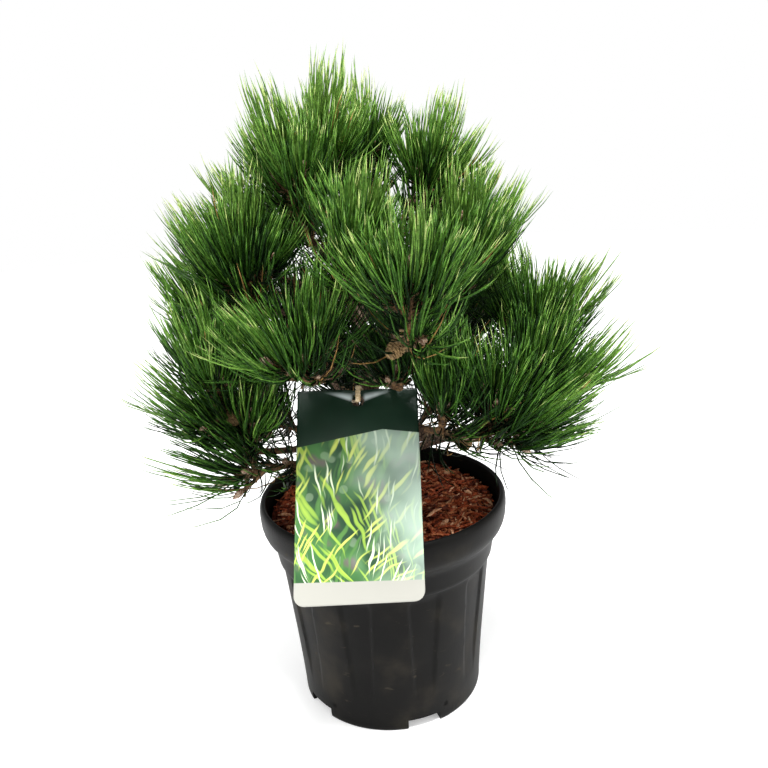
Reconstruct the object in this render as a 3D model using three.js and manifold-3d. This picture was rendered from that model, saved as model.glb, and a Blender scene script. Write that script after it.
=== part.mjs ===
// Young dwarf Bosnian pine in the black nursery pot it was grown in, with its hanging label.
// Millimetres, +Z up. The origin is the middle of the pot's flat underside; the label faces -Y.
// A young pine carries its needles in brushes at the ends of its shoots. So each bough is one
// bare tapering limb that ends in a mass: a short stem, a few shoots, and stout needles that
// rise from the faces of the shoots.
import * as THREE from 'three';
import { mergeVertices } from 'three/addons/utils/BufferGeometryUtils.js';
import Module from 'manifold-3d';

const wasm = await Module();
wasm.setup();

// Driving dimensions
const GAP = 0.3;
const SEED = 2873;
const POT = { height: 208.7, lip: 119.8, floor: 2.6, foot: 90.4, footHeight: 10.3, sides: 40 };
const FLUTES = { count: 10, width: 30, widthLow: 18, corner: 8, cornerWidth: 9, depth: 1.6,
  top: 146, bottom: 30, wallTop: 102.4, wallBottom: 92, reach: 12 };
const FEET = { count: 5, notchDegrees: 21, firstNotch: 19.5, channelStart: 30, roofEnd: 86,
  cutEnd: 100 };
const DRAIN = { radius: 2.6, height: 17, fromNotch: -57.5, length: 16, out: 90, sides: 8 };
const SOIL = { top: 196, edge: 193.5, edgeRadius: 111, topRadius: 104, footRadius: 87.2 };
const CHIP = { count: 22, length: [14, 30], width: [6, 11], thick: 7, sunk: 1.6, turn: 2.4,
  ring: [26, 88], rolls: 0.3, tilts: 0.24 };
const TRUNK = { foot: 12.5, middle: 9, top: 3.6, waist: 0.4, flare: 0.34, flareShare: 14,
  lobes: 5, lobeDepth: 0.4, sides: 10, steps: 11 };
const BOUGH = { base: 4.6, tip: 2.9, sides: 5, steps: 4, share: 0.6, lift: 0.45, startPull: 0.36,
  endPull: 0.24, stemPull: 0.12 };
const SHOOT = { stemEnd: 3.1, base: 2.6, waist: 2.3, bud: 2.7, end: 0.7, stemBands: 3,
  leadBands: 4, leadSides: 5, sideSides: 4, sunk: 3.2, sunkNext: 1.7, straight: 0.3, slimNext: 0.12 };
const SIDE = { lean: 0.85, from: [0.3, 0.4], jitter: 24, share: 0.52, extra: 6, sag: 0.08,
  needles: 0.88, slim: 0.8 };
const NEEDLE = { low: 84, high: 66, lowAt: 250, highAt: 470, thick: 1.5, point: 0.15, open: 92,
  openHigh: 70, closed: 6, close: 1.5, old: 84, rise: 0.9, riseLow: 0.25, riseFrom: 270, riseTo: 360,
  skirt: 0.4, leastOff: 0.14, onStem: 0.8 };
const CLEAR = { pot: 4, rim: 3, card: 4, front: 75, limb: 1.2, core: 0.5, needle: 0.9, space: 1.6 };
const LABEL = { width: 107.3, length: 186, thick: 0.8, corner: 9, topCorner: 2, hole: 5.4,
  holeDown: 10.5 };
const TIE = { width: 4.6, thick: 1.5, height: 298, loop: 15.5, button: 4.2, buttonDeep: 3.6,
  steps: 40 };

// Each mass: the height at which its bough leaves the trunk, where that bough ends (azimuth and
// reach about the pot's axis, height), then its leading shoots (bearing, rise and length).
// Degrees and millimetres.
const MASSES = {
  top_left: [428, -151, 61, 471, [-143, 75, 65]],
  top_back: [446, 94, 65, 484, [86, 82, 62]],
  top_right: [424, 29, 58, 474, [14, 72, 52]],
  high_right: [376, -11, 77, 404, [-65, 77, 60], [12, 50, 58]],
  high_front: [364, -76, 132, 398, [-88, 61, 56]],
  high_middle: [394, -98, 84, 430, [-58, 66, 44]],
  high_left: [382, -165, 112, 408, [-171, 58, 48], [-60, 77, 66]],
  high_back_left: [394, 149, 110, 426, [172, 61, 58], [50, 56, 52]],
  high_back: [364, 97, 100, 408, [92, 60, 60]],
  high_back_right: [390, 52, 98, 412, [62, 52, 58], [4, 50, 66]],
  inner_front: [320, -66, 54, 330, [-61, 64, 32], [-149, 38, 34]],
  left: [354, -155, 147, 324, [-130, 76, 47]],
  front_left: [336, -123, 103, 352, [-53, 66, 42], [-134, 31, 38]],
  front_right: [276, -48, 86, 298, [-92, 74, 38]],
  right_front: [262, -32, 118, 287, [-118, 69, 42], [-26, 15, 38]],
  right: [334, 2, 149, 334, [-15, 52, 52], [118, 68, 54]],
  back_left: [346, 164, 150, 352, [-178, 57, 51], [45, 62, 49]],
  back_inner: [268, 122, 112, 326, [116, 44, 62], [70, 68, 50]],
  back: [340, 80, 118, 332, [84, 38, 66]],
  back_right: [352, 41, 113, 335, [40, 38, 65], [84, 62, 50]],
  far_left: [252, -157, 130, 284, [-170, 36, 50], [-58, 52, 42]],
  far_right: [250, -17, 137, 297, [-36, 70, 46], [-5, 28, 58]],
  low_left: [232, -149, 110, 260, [-150, 0, 44]],
  low_right: [232, 14, 120, 254, [4, 2, 52]],
  low_back_left: [224, 152, 106, 262, [158, 14, 54]],
  low_back: [236, 106, 107, 262, [100, 15, 54]],
  low_back_right: [221, 54, 107, 266, [52, 13, 56]],
};
// The leader goes on from the trunk's tip
const LEADER = { stem: 14, leads: [[-16, 79, 64]] };

const LOOKS = {
  pot: [0x2e2e2c, 0.5],
  soil: [0x5a2f1c, 0.95],
  bark: [0x6b4a30, 0.9],
  needles: [0x4f7a2a, 0.6],
  label: [0x1f3a2c, 0.35],
  tie: [0xd8c49a, 0.6],
};

const rad = THREE.MathUtils.degToRad;
const vec = (x, y, z) => new THREE.Vector3(x, y, z);
const UP = vec(0, 0, 1);

const between = ([low, high], share) => low + (high - low) * share;

// A repeatable stream of numbers from 0 to 1
function stream(seed) {
  let state = seed >>> 0;
  return () => {
    state = (Math.imul(state, 1664525) + 1013904223) >>> 0;
    return state / 4294967296;
  };
}

// Direction from a bearing about +Z and a rise above the level
function heading(bearing, rise) {
  const level = Math.cos(rad(rise));
  return vec(level * Math.cos(rad(bearing)), level * Math.sin(rad(bearing)), Math.sin(rad(rise)));
}

// One closed solid from a closed geometry
function solid(geometry) {
  geometry.deleteAttribute('normal');
  geometry.deleteAttribute('uv');
  const merged = mergeVertices(geometry, 1e-4);
  return new wasm.Manifold(new wasm.Mesh({
    numProp: 3,
    vertProperties: new Float32Array(merged.attributes.position.array),
    triVerts: new Uint32Array(merged.index.array),
  }));
}

const fuse = (solids) => solids.reduce((whole, next) => whole.add(next));

// Frames along a curve that turn with it and never twist about it
function framesAlong(curve, steps, across) {
  const frames = [];
  let side = across.clone();
  for (let k = 0; k <= steps; k += 1) {
    const ahead = curve.getTangent(k / steps);
    side = side.clone().addScaledVector(ahead, -side.dot(ahead)).normalize();
    const face = side.clone().cross(ahead).normalize();
    frames.push({ point: curve.getPoint(k / steps), side, face });
  }
  return frames;
}

// Bends a geometry of unit height along Y onto a curve; grow(t, angle) scales its section
function bend(geometry, curve, steps, grow, across = vec(0, 1, 0)) {
  const frames = framesAlong(curve, steps, across);
  const corners = geometry.attributes.position;
  for (let i = 0; i < corners.count; i += 1) {
    const t = corners.getY(i) + 0.5;
    const { point, side, face } = frames[Math.round(t * steps)];
    const size = grow(t, Math.atan2(corners.getZ(i), corners.getX(i)));
    const at = point.clone();
    at.addScaledVector(side, corners.getX(i) * size);
    at.addScaledVector(face, corners.getZ(i) * size);
    corners.setXYZ(i, at.x, at.y, at.z);
  }
  return solid(geometry);
}

function limb(curve, sides, steps, grow) {
  return bend(new THREE.CylinderGeometry(1, 1, 1, sides, steps), curve, steps, grow);
}

// One stretch of a longer curve
class Stretch extends THREE.Curve {
  constructor(whole, from, to) {
    super();
    Object.assign(this, { whole, from, to });
  }

  getPoint(t, target = vec(0, 0, 0)) {
    return this.whole.getPoint(this.from + (this.to - this.from) * t, target);
  }
}

// Radius that passes evenly from one size to another
const taper = (from, to) => (t) => from + (to - from) * t;

// Pot: turned shell, flat flutes, lifted channels under the floor, cut feet and drain holes
const OUTSIDE = [
  [0, 0], [POT.foot - 1.6, 0], [POT.foot, 1.6], [93.2, 50], [98.2, 105], [102.6, 147.5], [105.6, 150.5],
  [109.4, 172.5], [114, 177], [118.4, 185], [POT.lip, 195], [118.6, 204.5], [115.6, POT.height],
];
const INSIDE = [
  [113.4, 207.6], [112.4, 200], [110.6, 182], [106.6, 171], [103.2, 153], [99.8, 145],
  [95.6, 103], [90.6, 50], [87.8, POT.floor], [0, POT.floor],
];

function turned(profile, sides) {
  const points = profile.map(([r, z]) => new THREE.Vector2(r, z));
  const geometry = new THREE.LatheGeometry(points, sides);
  geometry.rotateX(Math.PI / 2);
  return solid(geometry);
}

// Block that runs outwards along +X, turned to a bearing measured from the front
function radialBlock(from, to, width, low, high, bearing) {
  const block = new THREE.BoxGeometry(to - from, width, high - low);
  block.translate((from + to) / 2, 0, (low + high) / 2);
  block.rotateZ(rad(bearing - 90));
  return solid(block);
}

const notchBearings = [];
for (let k = 0; k < FEET.count; k += 1) {
  notchBearings.push(FEET.firstNotch + (360 * k) / FEET.count);
}
const notchWidth = 2 * POT.foot * Math.sin(rad(FEET.notchDegrees / 2));

function flute(bearing) {
  const { widthLow, corner, cornerWidth, depth, top, bottom } = FLUTES;
  const x = FLUTES.width / 2;
  const outline = new THREE.Shape();
  outline.moveTo(-x, top - corner);
  outline.quadraticCurveTo(-x, top, cornerWidth - x, top);
  outline.lineTo(x - cornerWidth, top);
  outline.quadraticCurveTo(x, top, x, top - corner);
  outline.lineTo(widthLow / 2, bottom);
  outline.lineTo(-widthLow / 2, bottom);
  const panel = new THREE.ExtrudeGeometry(outline, {
    depth: FLUTES.reach, bevelEnabled: false, curveSegments: 2,
  });
  panel.rotateX(Math.PI / 2);
  panel.rotateZ(Math.PI / 2);
  // The panel's face leans with the wall and meets it again near the foot
  panel.translate(0, 0, -bottom);
  panel.rotateY(Math.atan2(FLUTES.wallTop - depth - FLUTES.wallBottom, top - bottom));
  panel.translate(FLUTES.wallBottom, 0, bottom);
  panel.rotateZ(rad(bearing - 90));
  return solid(panel);
}

function makePot() {
  let pot = turned([...OUTSIDE, ...INSIDE], POT.sides);
  const { channelStart, roofEnd, cutEnd } = FEET;
  for (const bearing of notchBearings) {
    pot = pot.add(radialBlock(channelStart - POT.floor, roofEnd, notchWidth + 2 * POT.floor,
      1, POT.footHeight + POT.floor, bearing));
  }
  for (const bearing of notchBearings) {
    pot = pot.subtract(radialBlock(channelStart, cutEnd, notchWidth, -1, POT.footHeight, bearing));
    const { radius, length, sides } = DRAIN;
    const hole = new THREE.CylinderGeometry(radius, radius, length, sides);
    hole.rotateZ(Math.PI / 2);
    hole.translate(DRAIN.out, 0, DRAIN.height);
    hole.rotateZ(rad(bearing + DRAIN.fromNotch - 90));
    pot = pot.subtract(solid(hole));
  }
  for (let k = 0; k < FLUTES.count; k += 1) {
    pot = pot.subtract(flute(FEET.firstNotch + (360 * k) / FLUTES.count));
  }
  return pot;
}

// Soil: fills the pot to a nearly level top of bark chips
function makeSoil() {
  const sides = INSIDE.filter(([, z]) => z < SOIL.edge && z > POT.floor).reverse();
  const bottom = POT.floor + GAP;
  const profile = [[0, bottom], [SOIL.footRadius, bottom],
    ...sides.map(([r, z]) => [r - 2 * GAP, z]),
    [SOIL.edgeRadius, SOIL.edge], [SOIL.topRadius, SOIL.top], [0, SOIL.top]];
  let soil = turned(profile, POT.sides);
  for (const bearing of notchBearings) {
    soil = soil.subtract(radialBlock(FEET.channelStart - POT.floor - GAP, FEET.cutEnd,
      notchWidth + 2 * (POT.floor + GAP), 0, POT.footHeight + POT.floor + GAP, bearing));
  }
  const random = stream(SEED + 7);
  for (let k = 0; k < CHIP.count; k += 1) {
    const length = between(CHIP.length, random());
    const chip = new THREE.BoxGeometry(length, between(CHIP.width, random()), CHIP.thick);
    chip.rotateX(CHIP.rolls * (random() - 0.5));
    chip.rotateY(CHIP.tilts * (random() - 0.5));
    chip.rotateZ(Math.PI * random());
    const around = CHIP.turn * k;
    const out = between(CHIP.ring, Math.sqrt((k + 0.5) / CHIP.count));
    chip.translate(out * Math.cos(around), out * Math.sin(around), SOIL.top - CHIP.sunk);
    soil = soil.add(solid(chip));
  }
  return soil;
}

// Trunk: one tapering stem with a lobed root flare, cut flat where it stands on the soil
const trunkCurve = new THREE.CubicBezierCurve3(
  vec(-3, 4, SOIL.top + GAP), vec(-3, 4, 300), vec(-8, 9, 388), vec(-37, 5, 478));

function trunkRadius(t) {
  const { foot, middle, top, waist } = TRUNK;
  if (t < waist) return between([foot, middle], t / waist);
  return between([middle, top], (t - waist) / (1 - waist));
}

function trunkSize(extra) {
  return (t, angle) => {
    const flare = TRUNK.flare * Math.exp(-t * TRUNK.flareShare);
    const lobe = 1 - TRUNK.lobeDepth + TRUNK.lobeDepth * Math.cos(TRUNK.lobes * angle);
    return trunkRadius(t) * (1 + flare * lobe) + extra;
  };
}

function trunkAt(height) {
  let low = 0;
  let high = 1;
  for (let k = 0; k < 24; k += 1) {
    const t = (low + high) / 2;
    if (trunkCurve.getPoint(t).z < height) low = t;
    else high = t;
  }
  return trunkCurve.getPoint(low);
}

// Label: a card that leans back against the pot's lip, tied to the trunk through its hole
const cardAxes = new THREE.Matrix4().makeBasis(
  vec(0.9955, 0.0808, -0.0499), vec(0.0236, 0.6146, 0.7885), vec(0.0943, -0.7861, 0.6109));
const cardTop = vec(-15.6, -31.8, 321.6);
const cardCentre = cardTop.clone().add(
  vec(0, -LABEL.length / 2, 0).applyMatrix4(cardAxes));

function makeLabel() {
  const { width, length, corner, topCorner, hole, holeDown, thick } = LABEL;
  const x = width / 2;
  const y = length / 2;
  const card = new THREE.Shape();
  card.moveTo(-x, y - topCorner);
  card.lineTo(-x, corner - y);
  card.quadraticCurveTo(-x, -y, corner - x, -y);
  card.lineTo(x - corner, -y);
  card.quadraticCurveTo(x, -y, x, corner - y);
  card.lineTo(x, y - topCorner);
  card.quadraticCurveTo(x, y, x - topCorner, y);
  card.lineTo(topCorner - x, y);
  card.quadraticCurveTo(-x, y, -x, y - topCorner);
  const opening = new THREE.Path();
  opening.absarc(0, y - holeDown, hole, 0, 2 * Math.PI, true);
  card.holes.push(opening);
  const plate = new THREE.ExtrudeGeometry(card, {
    depth: thick, bevelEnabled: false, curveSegments: 5,
  });
  plate.translate(0, 0, -thick / 2);
  plate.applyMatrix4(cardAxes);
  plate.translate(cardCentre.x, cardCentre.y, cardCentre.z);
  return solid(plate);
}

// Tie: round the trunk, through the hole from behind, up over the card's edge and back
const onCard = (x, down, out) => (
  vec(x, LABEL.length / 2 - down, out).applyMatrix4(cardAxes).add(cardCentre));
const behind = trunkAt(TIE.height);
const nearTrunk = (x, y, z) => behind.clone().add(vec(x, y, z));
const tieCurve = new THREE.CatmullRomCurve3([
  nearTrunk(1, TIE.loop, 1),
  nearTrunk(-TIE.loop, 2, 0),
  onCard(-5, 6, -12),
  onCard(-0.6, LABEL.holeDown - 0.3, -3),
  onCard(0, LABEL.holeDown - 0.5, 0),
  onCard(0, 7.6, 2.6),
  onCard(0, 1, 3.2),
  onCard(0.4, -3.2, 0.4),
  onCard(5, -1, -10),
  nearTrunk(TIE.loop, 2, 2),
  nearTrunk(-1, TIE.loop, 1),
], false, 'centripetal');

function makeTie() {
  const strap = new THREE.BoxGeometry(TIE.width, 1, TIE.thick, 1, TIE.steps, 1);
  const swept = bend(strap, tieCurve, TIE.steps, () => 1);
  const button = new THREE.BoxGeometry(TIE.button * 2, TIE.buttonDeep, TIE.button * 1.4);
  button.translate(behind.x, behind.y + TIE.loop + 0.6, behind.z + 1);
  return swept.add(solid(button));
}

// Growth: each branch leaves the trunk for the fork of its mass; its inner share is the bough
const plans = Object.entries(MASSES).map(([name, [from, azimuth, reach, height, ...leads]]) => {
  const tip = heading(azimuth, 0).multiplyScalar(reach).setZ(height);
  return { name, from, tip, leads };
});
plans.push({ name: 'leader', from: null, tip: trunkCurve.getPoint(1), leads: LEADER.leads });

const meanHeading = (leads) => leads.reduce(
  (sum, [bearing, rise]) => sum.add(heading(bearing, rise)), vec(0, 0, 0)).normalize();

for (const plan of plans) {
  plan.random = stream(SEED + Math.round(17 * plan.tip.x + plan.tip.y));
  plan.way = meanHeading(plan.leads);
  if (plan.from === null) {
    const way = trunkCurve.getTangent(1);
    plan.tip = plan.tip.clone().addScaledVector(way, LEADER.stem);
    plan.stem = new THREE.LineCurve3(trunkCurve.getPoint(1).addScaledVector(way, GAP), plan.tip);
    continue;
  }
  const start = trunkAt(plan.from);
  const out = plan.tip.clone().sub(start);
  const level = vec(out.x, out.y, 0);
  const span = out.length();
  const first = level.normalize().add(vec(0, 0, BOUGH.lift)).normalize();
  const branch = new THREE.CubicBezierCurve3(start,
    start.clone().addScaledVector(first, span * BOUGH.startPull),
    plan.tip.clone().addScaledVector(plan.way, -span * BOUGH.endPull), plan.tip);
  plan.bough = new Stretch(branch, 0, BOUGH.share);
  const cut = branch.getPoint(BOUGH.share);
  const onward = branch.getTangent(BOUGH.share);
  plan.stem = new THREE.CubicBezierCurve3(cut.clone().addScaledVector(onward, GAP),
    cut.clone().addScaledVector(onward, span * BOUGH.stemPull),
    plan.tip.clone().addScaledVector(plan.way, -span * BOUGH.stemPull), plan.tip);
  plan.size = taper(BOUGH.base, BOUGH.tip);
}

// Each mass: a stem with the older needles, its leading shoots, and side shoots from these
function shootsOf(plan) {
  const { random, way } = plan;
  const { stemBands, leadBands } = SHOOT;
  const shoots = [
    { curve: plan.stem, kind: 'stem', scale: NEEDLE.onStem, slim: 1, bands: stemBands }];
  plan.leads.forEach(([bearing, rise, length], order) => {
    const aim = heading(bearing, rise);
    const sunk = SHOOT.sunk + SHOOT.sunkNext * order;
    const inside = plan.tip.clone().addScaledVector(way, -sunk);
    const bud = plan.tip.clone().addScaledVector(aim, length);
    const early = way.clone().add(aim).normalize();
    const curve = new THREE.QuadraticBezierCurve3(inside,
      inside.clone().addScaledVector(early, length * SHOOT.straight), bud);
    shoots.push({ curve, kind: 'lead', scale: 1, slim: 1 - SHOOT.slimNext * order, bands: leadBands });
    const sides = plan.leads.length > 1 ? 1 : 2;
    const turn = 360 * random();
    for (let k = 0; k < sides; k += 1) {
      const about = rad(turn + (360 * k) / sides + SIDE.jitter * (random() - 0.5));
      const across = vec(-aim.y, aim.x, 0.01).normalize();
      const over = aim.clone().cross(across).normalize();
      const off = across.multiplyScalar(Math.cos(about)).addScaledVector(over, Math.sin(about));
      const sideAim = aim.clone().addScaledVector(off, SIDE.lean).normalize();
      const from = curve.getPoint(between(SIDE.from, random()));
      const reach = SIDE.share * length + SIDE.extra;
      const end = from.clone().addScaledVector(sideAim, reach);
      const mid = from.clone().lerp(end, 0.5).addScaledVector(aim, -SIDE.sag * reach);
      shoots.push({ curve: new THREE.QuadraticBezierCurve3(from, mid, end), kind: 'side',
        scale: SIDE.needles, slim: SIDE.slim, bands: 1 + sides });
    }
  });
  return shoots;
}

for (const plan of plans) {
  plan.shoots = shootsOf(plan);
  plan.lines = plan.shoots.map(({ curve, kind }) => {
    const beyond = kind === 'stem' ? 0 : 0.6 * NEEDLE.high;
    return [curve.getPoint(0), curve.getPoint(1).addScaledVector(curve.getTangent(1), beyond)];
  });
}

// Distance from a point to a straight line between two ends
function awayFrom(point, [from, to]) {
  const line = to.clone().sub(from);
  const along = THREE.MathUtils.clamp(point.clone().sub(from).dot(line) / line.lengthSq(), 0, 1);
  return point.distanceTo(from.clone().addScaledVector(line, along));
}

// Limbs and tie as strings of balls, for keeping needles off them
const strings = plans.filter((plan) => plan.bough).map((plan) => (
  plan.bough.getPoints(30).map((at, k) => [at, plan.size(k / 30)])));
strings.push(trunkCurve.getPoints(60).map((at, k) => [at, trunkRadius(k / 60) * 1.1]));
strings.push(tieCurve.getPoints(40).map((at) => [at, TIE.width / 2]));

function blocked(plan, point, radius) {
  const level = Math.hypot(point.x, point.y);
  if (level < POT.lip + CLEAR.pot && point.z < POT.height + CLEAR.rim) return true;
  const local = point.clone().sub(cardCentre).applyMatrix4(cardAxes.clone().invert());
  const over = Math.abs(local.x) < LABEL.width / 2 + CLEAR.card
    && Math.abs(local.y) < LABEL.length / 2 + CLEAR.card;
  if (over && local.z > -radius - CLEAR.limb && local.z < CLEAR.front) return true;
  for (const balls of strings) {
    for (const [at, size] of balls) {
      if (at.distanceTo(point) < size + radius + CLEAR.limb) return true;
    }
  }
  return false;
}

// How far a point lies inside the mass's own share of the crown
function roomAt(plan, point) {
  const own = Math.min(...plan.lines.map((line) => awayFrom(point, line)));
  let other = Infinity;
  for (const next of plans) {
    if (next === plan) continue;
    for (const line of next.lines) other = Math.min(other, awayFrom(point, line));
  }
  return other - own;
}

const thicknessAt = (s) => NEEDLE.thick * (1 - (1 - NEEDLE.point) * s);

// A needle grows only where it stays in its share of the crown and clear of all the rest
function fits(plan, shoot, root, tip) {
  const grown = new THREE.Line3(root, tip);
  for (let k = 1; k <= 8; k += 1) {
    const point = grown.at(k / 8, vec(0, 0, 0));
    const thick = thicknessAt(k / 8);
    if (roomAt(plan, point) < 2 * thick + CLEAR.space) return false;
    if (blocked(plan, point, thick)) return false;
    for (const next of plan.shoots) {
      const reach = next === shoot ? SHOOT.bud : SHOOT.bud + thick + CLEAR.core;
      if (next.beads.some((bead) => bead.distanceTo(point) < reach)) return false;
    }
    for (const [owner, line] of plan.grown) {
      const early = owner === shoot && k < 3;
      if (early) continue;
      const along = line.closestPointToPointParameter(point, true);
      const near = line.at(along, vec(0, 0, 0)).distanceTo(point);
      const apart = owner === shoot ? 0 : CLEAR.needle;
      if (near < thick + thicknessAt(along) + apart) return false;
    }
  }
  return true;
}

// Slim shoot that swells into its bud; the stem only tapers
function shootSize({ kind, slim }) {
  if (kind === 'stem') return taper(BOUGH.tip, SHOOT.stemEnd);
  return (t) => {
    if (t > 0.99) return SHOOT.end;
    if (t > 0.75) return SHOOT.bud * slim;
    return (SHOOT.base + (SHOOT.waist - SHOOT.base) * t) * slim;
  };
}

// Where a needle on a face at root would end: wide open at the base, closing towards the bud
function needleTip(plan, shoot, root, normal, t) {
  const { curve, kind, scale } = shoot;
  const aim = curve.getTangent(t);
  const out = root.clone().sub(curve.getPoint(t));
  out.addScaledVector(aim, -out.dot(aim)).normalize();
  // The low, shaded shoots hold longer needles, open them wider and lift them less
  const { low, high, lowAt, highAt, open, openHigh, closed, old } = NEEDLE;
  const up = THREE.MathUtils.clamp((root.z - lowAt) / (highAt - lowAt), 0, 1);
  const widest = between([open, openHigh], up);
  const opened = between([closed, widest], (1 - t) ** NEEDLE.close);
  const angle = rad(kind === 'stem' ? old - 10 * t : opened);
  const way = aim.multiplyScalar(Math.cos(angle)).addScaledVector(out, Math.sin(angle));
  const { rise, riseLow, riseFrom, riseTo, skirt } = NEEDLE;
  const lit = THREE.MathUtils.clamp((root.z - riseFrom) / (riseTo - riseFrom), 0, 1);
  const lift = between([riseLow, 1], lit) * between([skirt, 1], THREE.MathUtils.smoothstep(t, 0.15, 0.55));
  way.addScaledVector(UP, rise * lift * (1 - way.z)).normalize();
  // However it is lifted, it stands out of the face that it is drawn from
  const off = Math.max(0, NEEDLE.leastOff - way.dot(normal));
  way.addScaledVector(normal, off).normalize();
  const reach = between([low, high], up) * between([0.86, 1.06], plan.random());
  return root.clone().addScaledVector(way, reach * scale);
}

// Brush: a bent, tapering tube whose side faces are drawn out into needles
function brush(plan, shoot) {
  const { curve, kind, bands } = shoot;
  const steps = bands + 1;
  const sides = kind === 'lead' ? SHOOT.leadSides : SHOOT.sideSides;
  const tube = new THREE.CylinderGeometry(1, 1, 1, sides, steps);
  bend(tube, curve, steps, shootSize(shoot));
  const corners = Array.from(tube.attributes.position.array);
  const faces = Array.from(tube.index.array);
  const sideFaces = 6 * sides * steps;
  const corner = (i) => vec(corners[3 * i], corners[3 * i + 1], corners[3 * i + 2]);
  const index = faces.slice(sideFaces);
  for (let f = 0; f < sideFaces; f += 3) {
    const [a, b, c] = faces.slice(f, f + 3);
    const face = new THREE.Triangle(corner(a), corner(b), corner(c));
    const root = face.getMidpoint(vec(0, 0, 0));
    const normal = face.getNormal(vec(0, 0, 0));
    const nearest = shoot.beads.reduce((best, bead, k) => (
      bead.distanceTo(root) < shoot.beads[best].distanceTo(root) ? k : best), 0);
    const t = nearest / (shoot.beads.length - 1);
    const tip = needleTip(plan, shoot, root, normal, t);
    const bare = kind === 'stem' ? t < 0.15 || f % 2 : t < 0.2;
    if (bare || t > 0.97 || !fits(plan, shoot, root, tip)) {
      index.push(a, b, c);
      continue;
    }
    plan.grown.push([shoot, new THREE.Line3(root, tip)]);
    const apex = corners.length / 3;
    corners.push(tip.x, tip.y, tip.z);
    index.push(a, b, apex, b, c, apex, c, a, apex);
  }
  const drawn = new THREE.BufferGeometry();
  drawn.setAttribute('position', new THREE.Float32BufferAttribute(corners, 3));
  drawn.setIndex(index);
  return solid(drawn);
}

function makeMass(plan) {
  plan.grown = [];
  for (const shoot of plan.shoots) shoot.beads = shoot.curve.getPoints(24);
  return fuse(plan.shoots.map((shoot) => brush(plan, shoot)));
}

const group = new THREE.Group();
group.name = 'potted_dwarf_pine';

function addPiece(name, made, look) {
  const { vertProperties, triVerts } = made.getMesh();
  const geometry = new THREE.BufferGeometry();
  geometry.setAttribute('position', new THREE.BufferAttribute(vertProperties, 3));
  geometry.setIndex(new THREE.BufferAttribute(triVerts, 1));
  geometry.computeVertexNormals();
  const [color, roughness] = LOOKS[look];
  const material = new THREE.MeshStandardMaterial({ color, roughness, metalness: 0 });
  const mesh = new THREE.Mesh(geometry, material);
  mesh.name = name;
  group.add(mesh);
}

addPiece('pot', makePot(), 'pot');
addPiece('soil', makeSoil(), 'soil');
addPiece('trunk', limb(trunkCurve, TRUNK.sides, TRUNK.steps, trunkSize(0)), 'bark');
addPiece('label', makeLabel(), 'label');
addPiece('label_tie', makeTie(), 'tie');
const clearance = limb(trunkCurve, TRUNK.sides, TRUNK.steps, trunkSize(GAP));
for (const plan of plans) {
  if (plan.bough) {
    const bough = limb(plan.bough, BOUGH.sides, BOUGH.steps, plan.size).subtract(clearance);
    addPiece(`bough_${plan.name}`, bough, 'bark');
  }
  addPiece(`mass_${plan.name}`, makeMass(plan), 'needles');
}

export default group;
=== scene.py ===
# %% [markdown]
# # A potted dwarf pine
#
# The object is a young dwarf pine, about 60 cm high with its black nursery pot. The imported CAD
# model gives the frame: where each limb, each mass of needles, the pot and the label stand.
# This lesson dresses that frame. Every length is worked out in millimetres, as in the CAD
# source, and turned into metres when a mesh is made.

import math

import bpy
import numpy as np
from mathutils import Matrix, Vector


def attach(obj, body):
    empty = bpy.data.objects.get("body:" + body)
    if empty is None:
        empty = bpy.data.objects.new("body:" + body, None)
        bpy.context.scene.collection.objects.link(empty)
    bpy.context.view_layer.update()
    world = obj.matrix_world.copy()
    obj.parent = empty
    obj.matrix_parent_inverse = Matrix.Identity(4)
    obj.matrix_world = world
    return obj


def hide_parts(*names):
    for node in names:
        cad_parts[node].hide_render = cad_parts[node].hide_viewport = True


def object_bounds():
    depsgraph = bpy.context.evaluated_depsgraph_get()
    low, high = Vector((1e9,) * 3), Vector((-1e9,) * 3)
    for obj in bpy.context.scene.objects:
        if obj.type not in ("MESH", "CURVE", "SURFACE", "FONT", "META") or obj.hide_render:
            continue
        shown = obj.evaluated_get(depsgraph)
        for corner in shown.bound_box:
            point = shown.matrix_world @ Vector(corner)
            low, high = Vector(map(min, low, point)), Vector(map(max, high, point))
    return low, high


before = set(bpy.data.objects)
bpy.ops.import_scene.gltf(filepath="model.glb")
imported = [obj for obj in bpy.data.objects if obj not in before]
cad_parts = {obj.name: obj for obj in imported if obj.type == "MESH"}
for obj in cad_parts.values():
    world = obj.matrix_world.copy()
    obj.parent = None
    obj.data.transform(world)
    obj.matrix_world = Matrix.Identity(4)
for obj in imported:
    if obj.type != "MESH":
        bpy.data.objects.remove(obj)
cad_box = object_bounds()
MM = 0.001
print("CAD nodes:", len(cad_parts))
print("CAD box:", [tuple(round(x, 3) for x in corner) for corner in cad_box])

# %% [markdown]
# ## Making meshes from arrays
#
# A pine has thousands of needles, so nothing here is placed by hand. Each kind of thing is
# worked out as arrays of corners and faces, and a heap gathers them until they become one
# mesh. That is much faster than adding faces one by one, and the export keeps it as it is,
# while it would drop particles and instances.

# %% A heap of corners and faces
class Heap:
    """Corners and faces that grow into one mesh."""

    def __init__(self):
        self.corners, self.faces, self.looks, self.count = [], [], [], 0

    def add(self, corners, *face_sets, looks=()):
        """More corners, and sets of faces that count from the first of them. Looks has the
        number of a finish, or one for each face, for every set."""
        corners = np.asarray(corners, float).reshape(-1, 3)
        for faces, look in zip(face_sets, looks or [0] * len(face_sets)):
            self.faces.append(np.asarray(faces, np.int64) + self.count)
            self.looks.append(np.broadcast_to(look, len(faces)).copy())
        self.corners.append(corners)
        self.count += len(corners)


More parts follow.
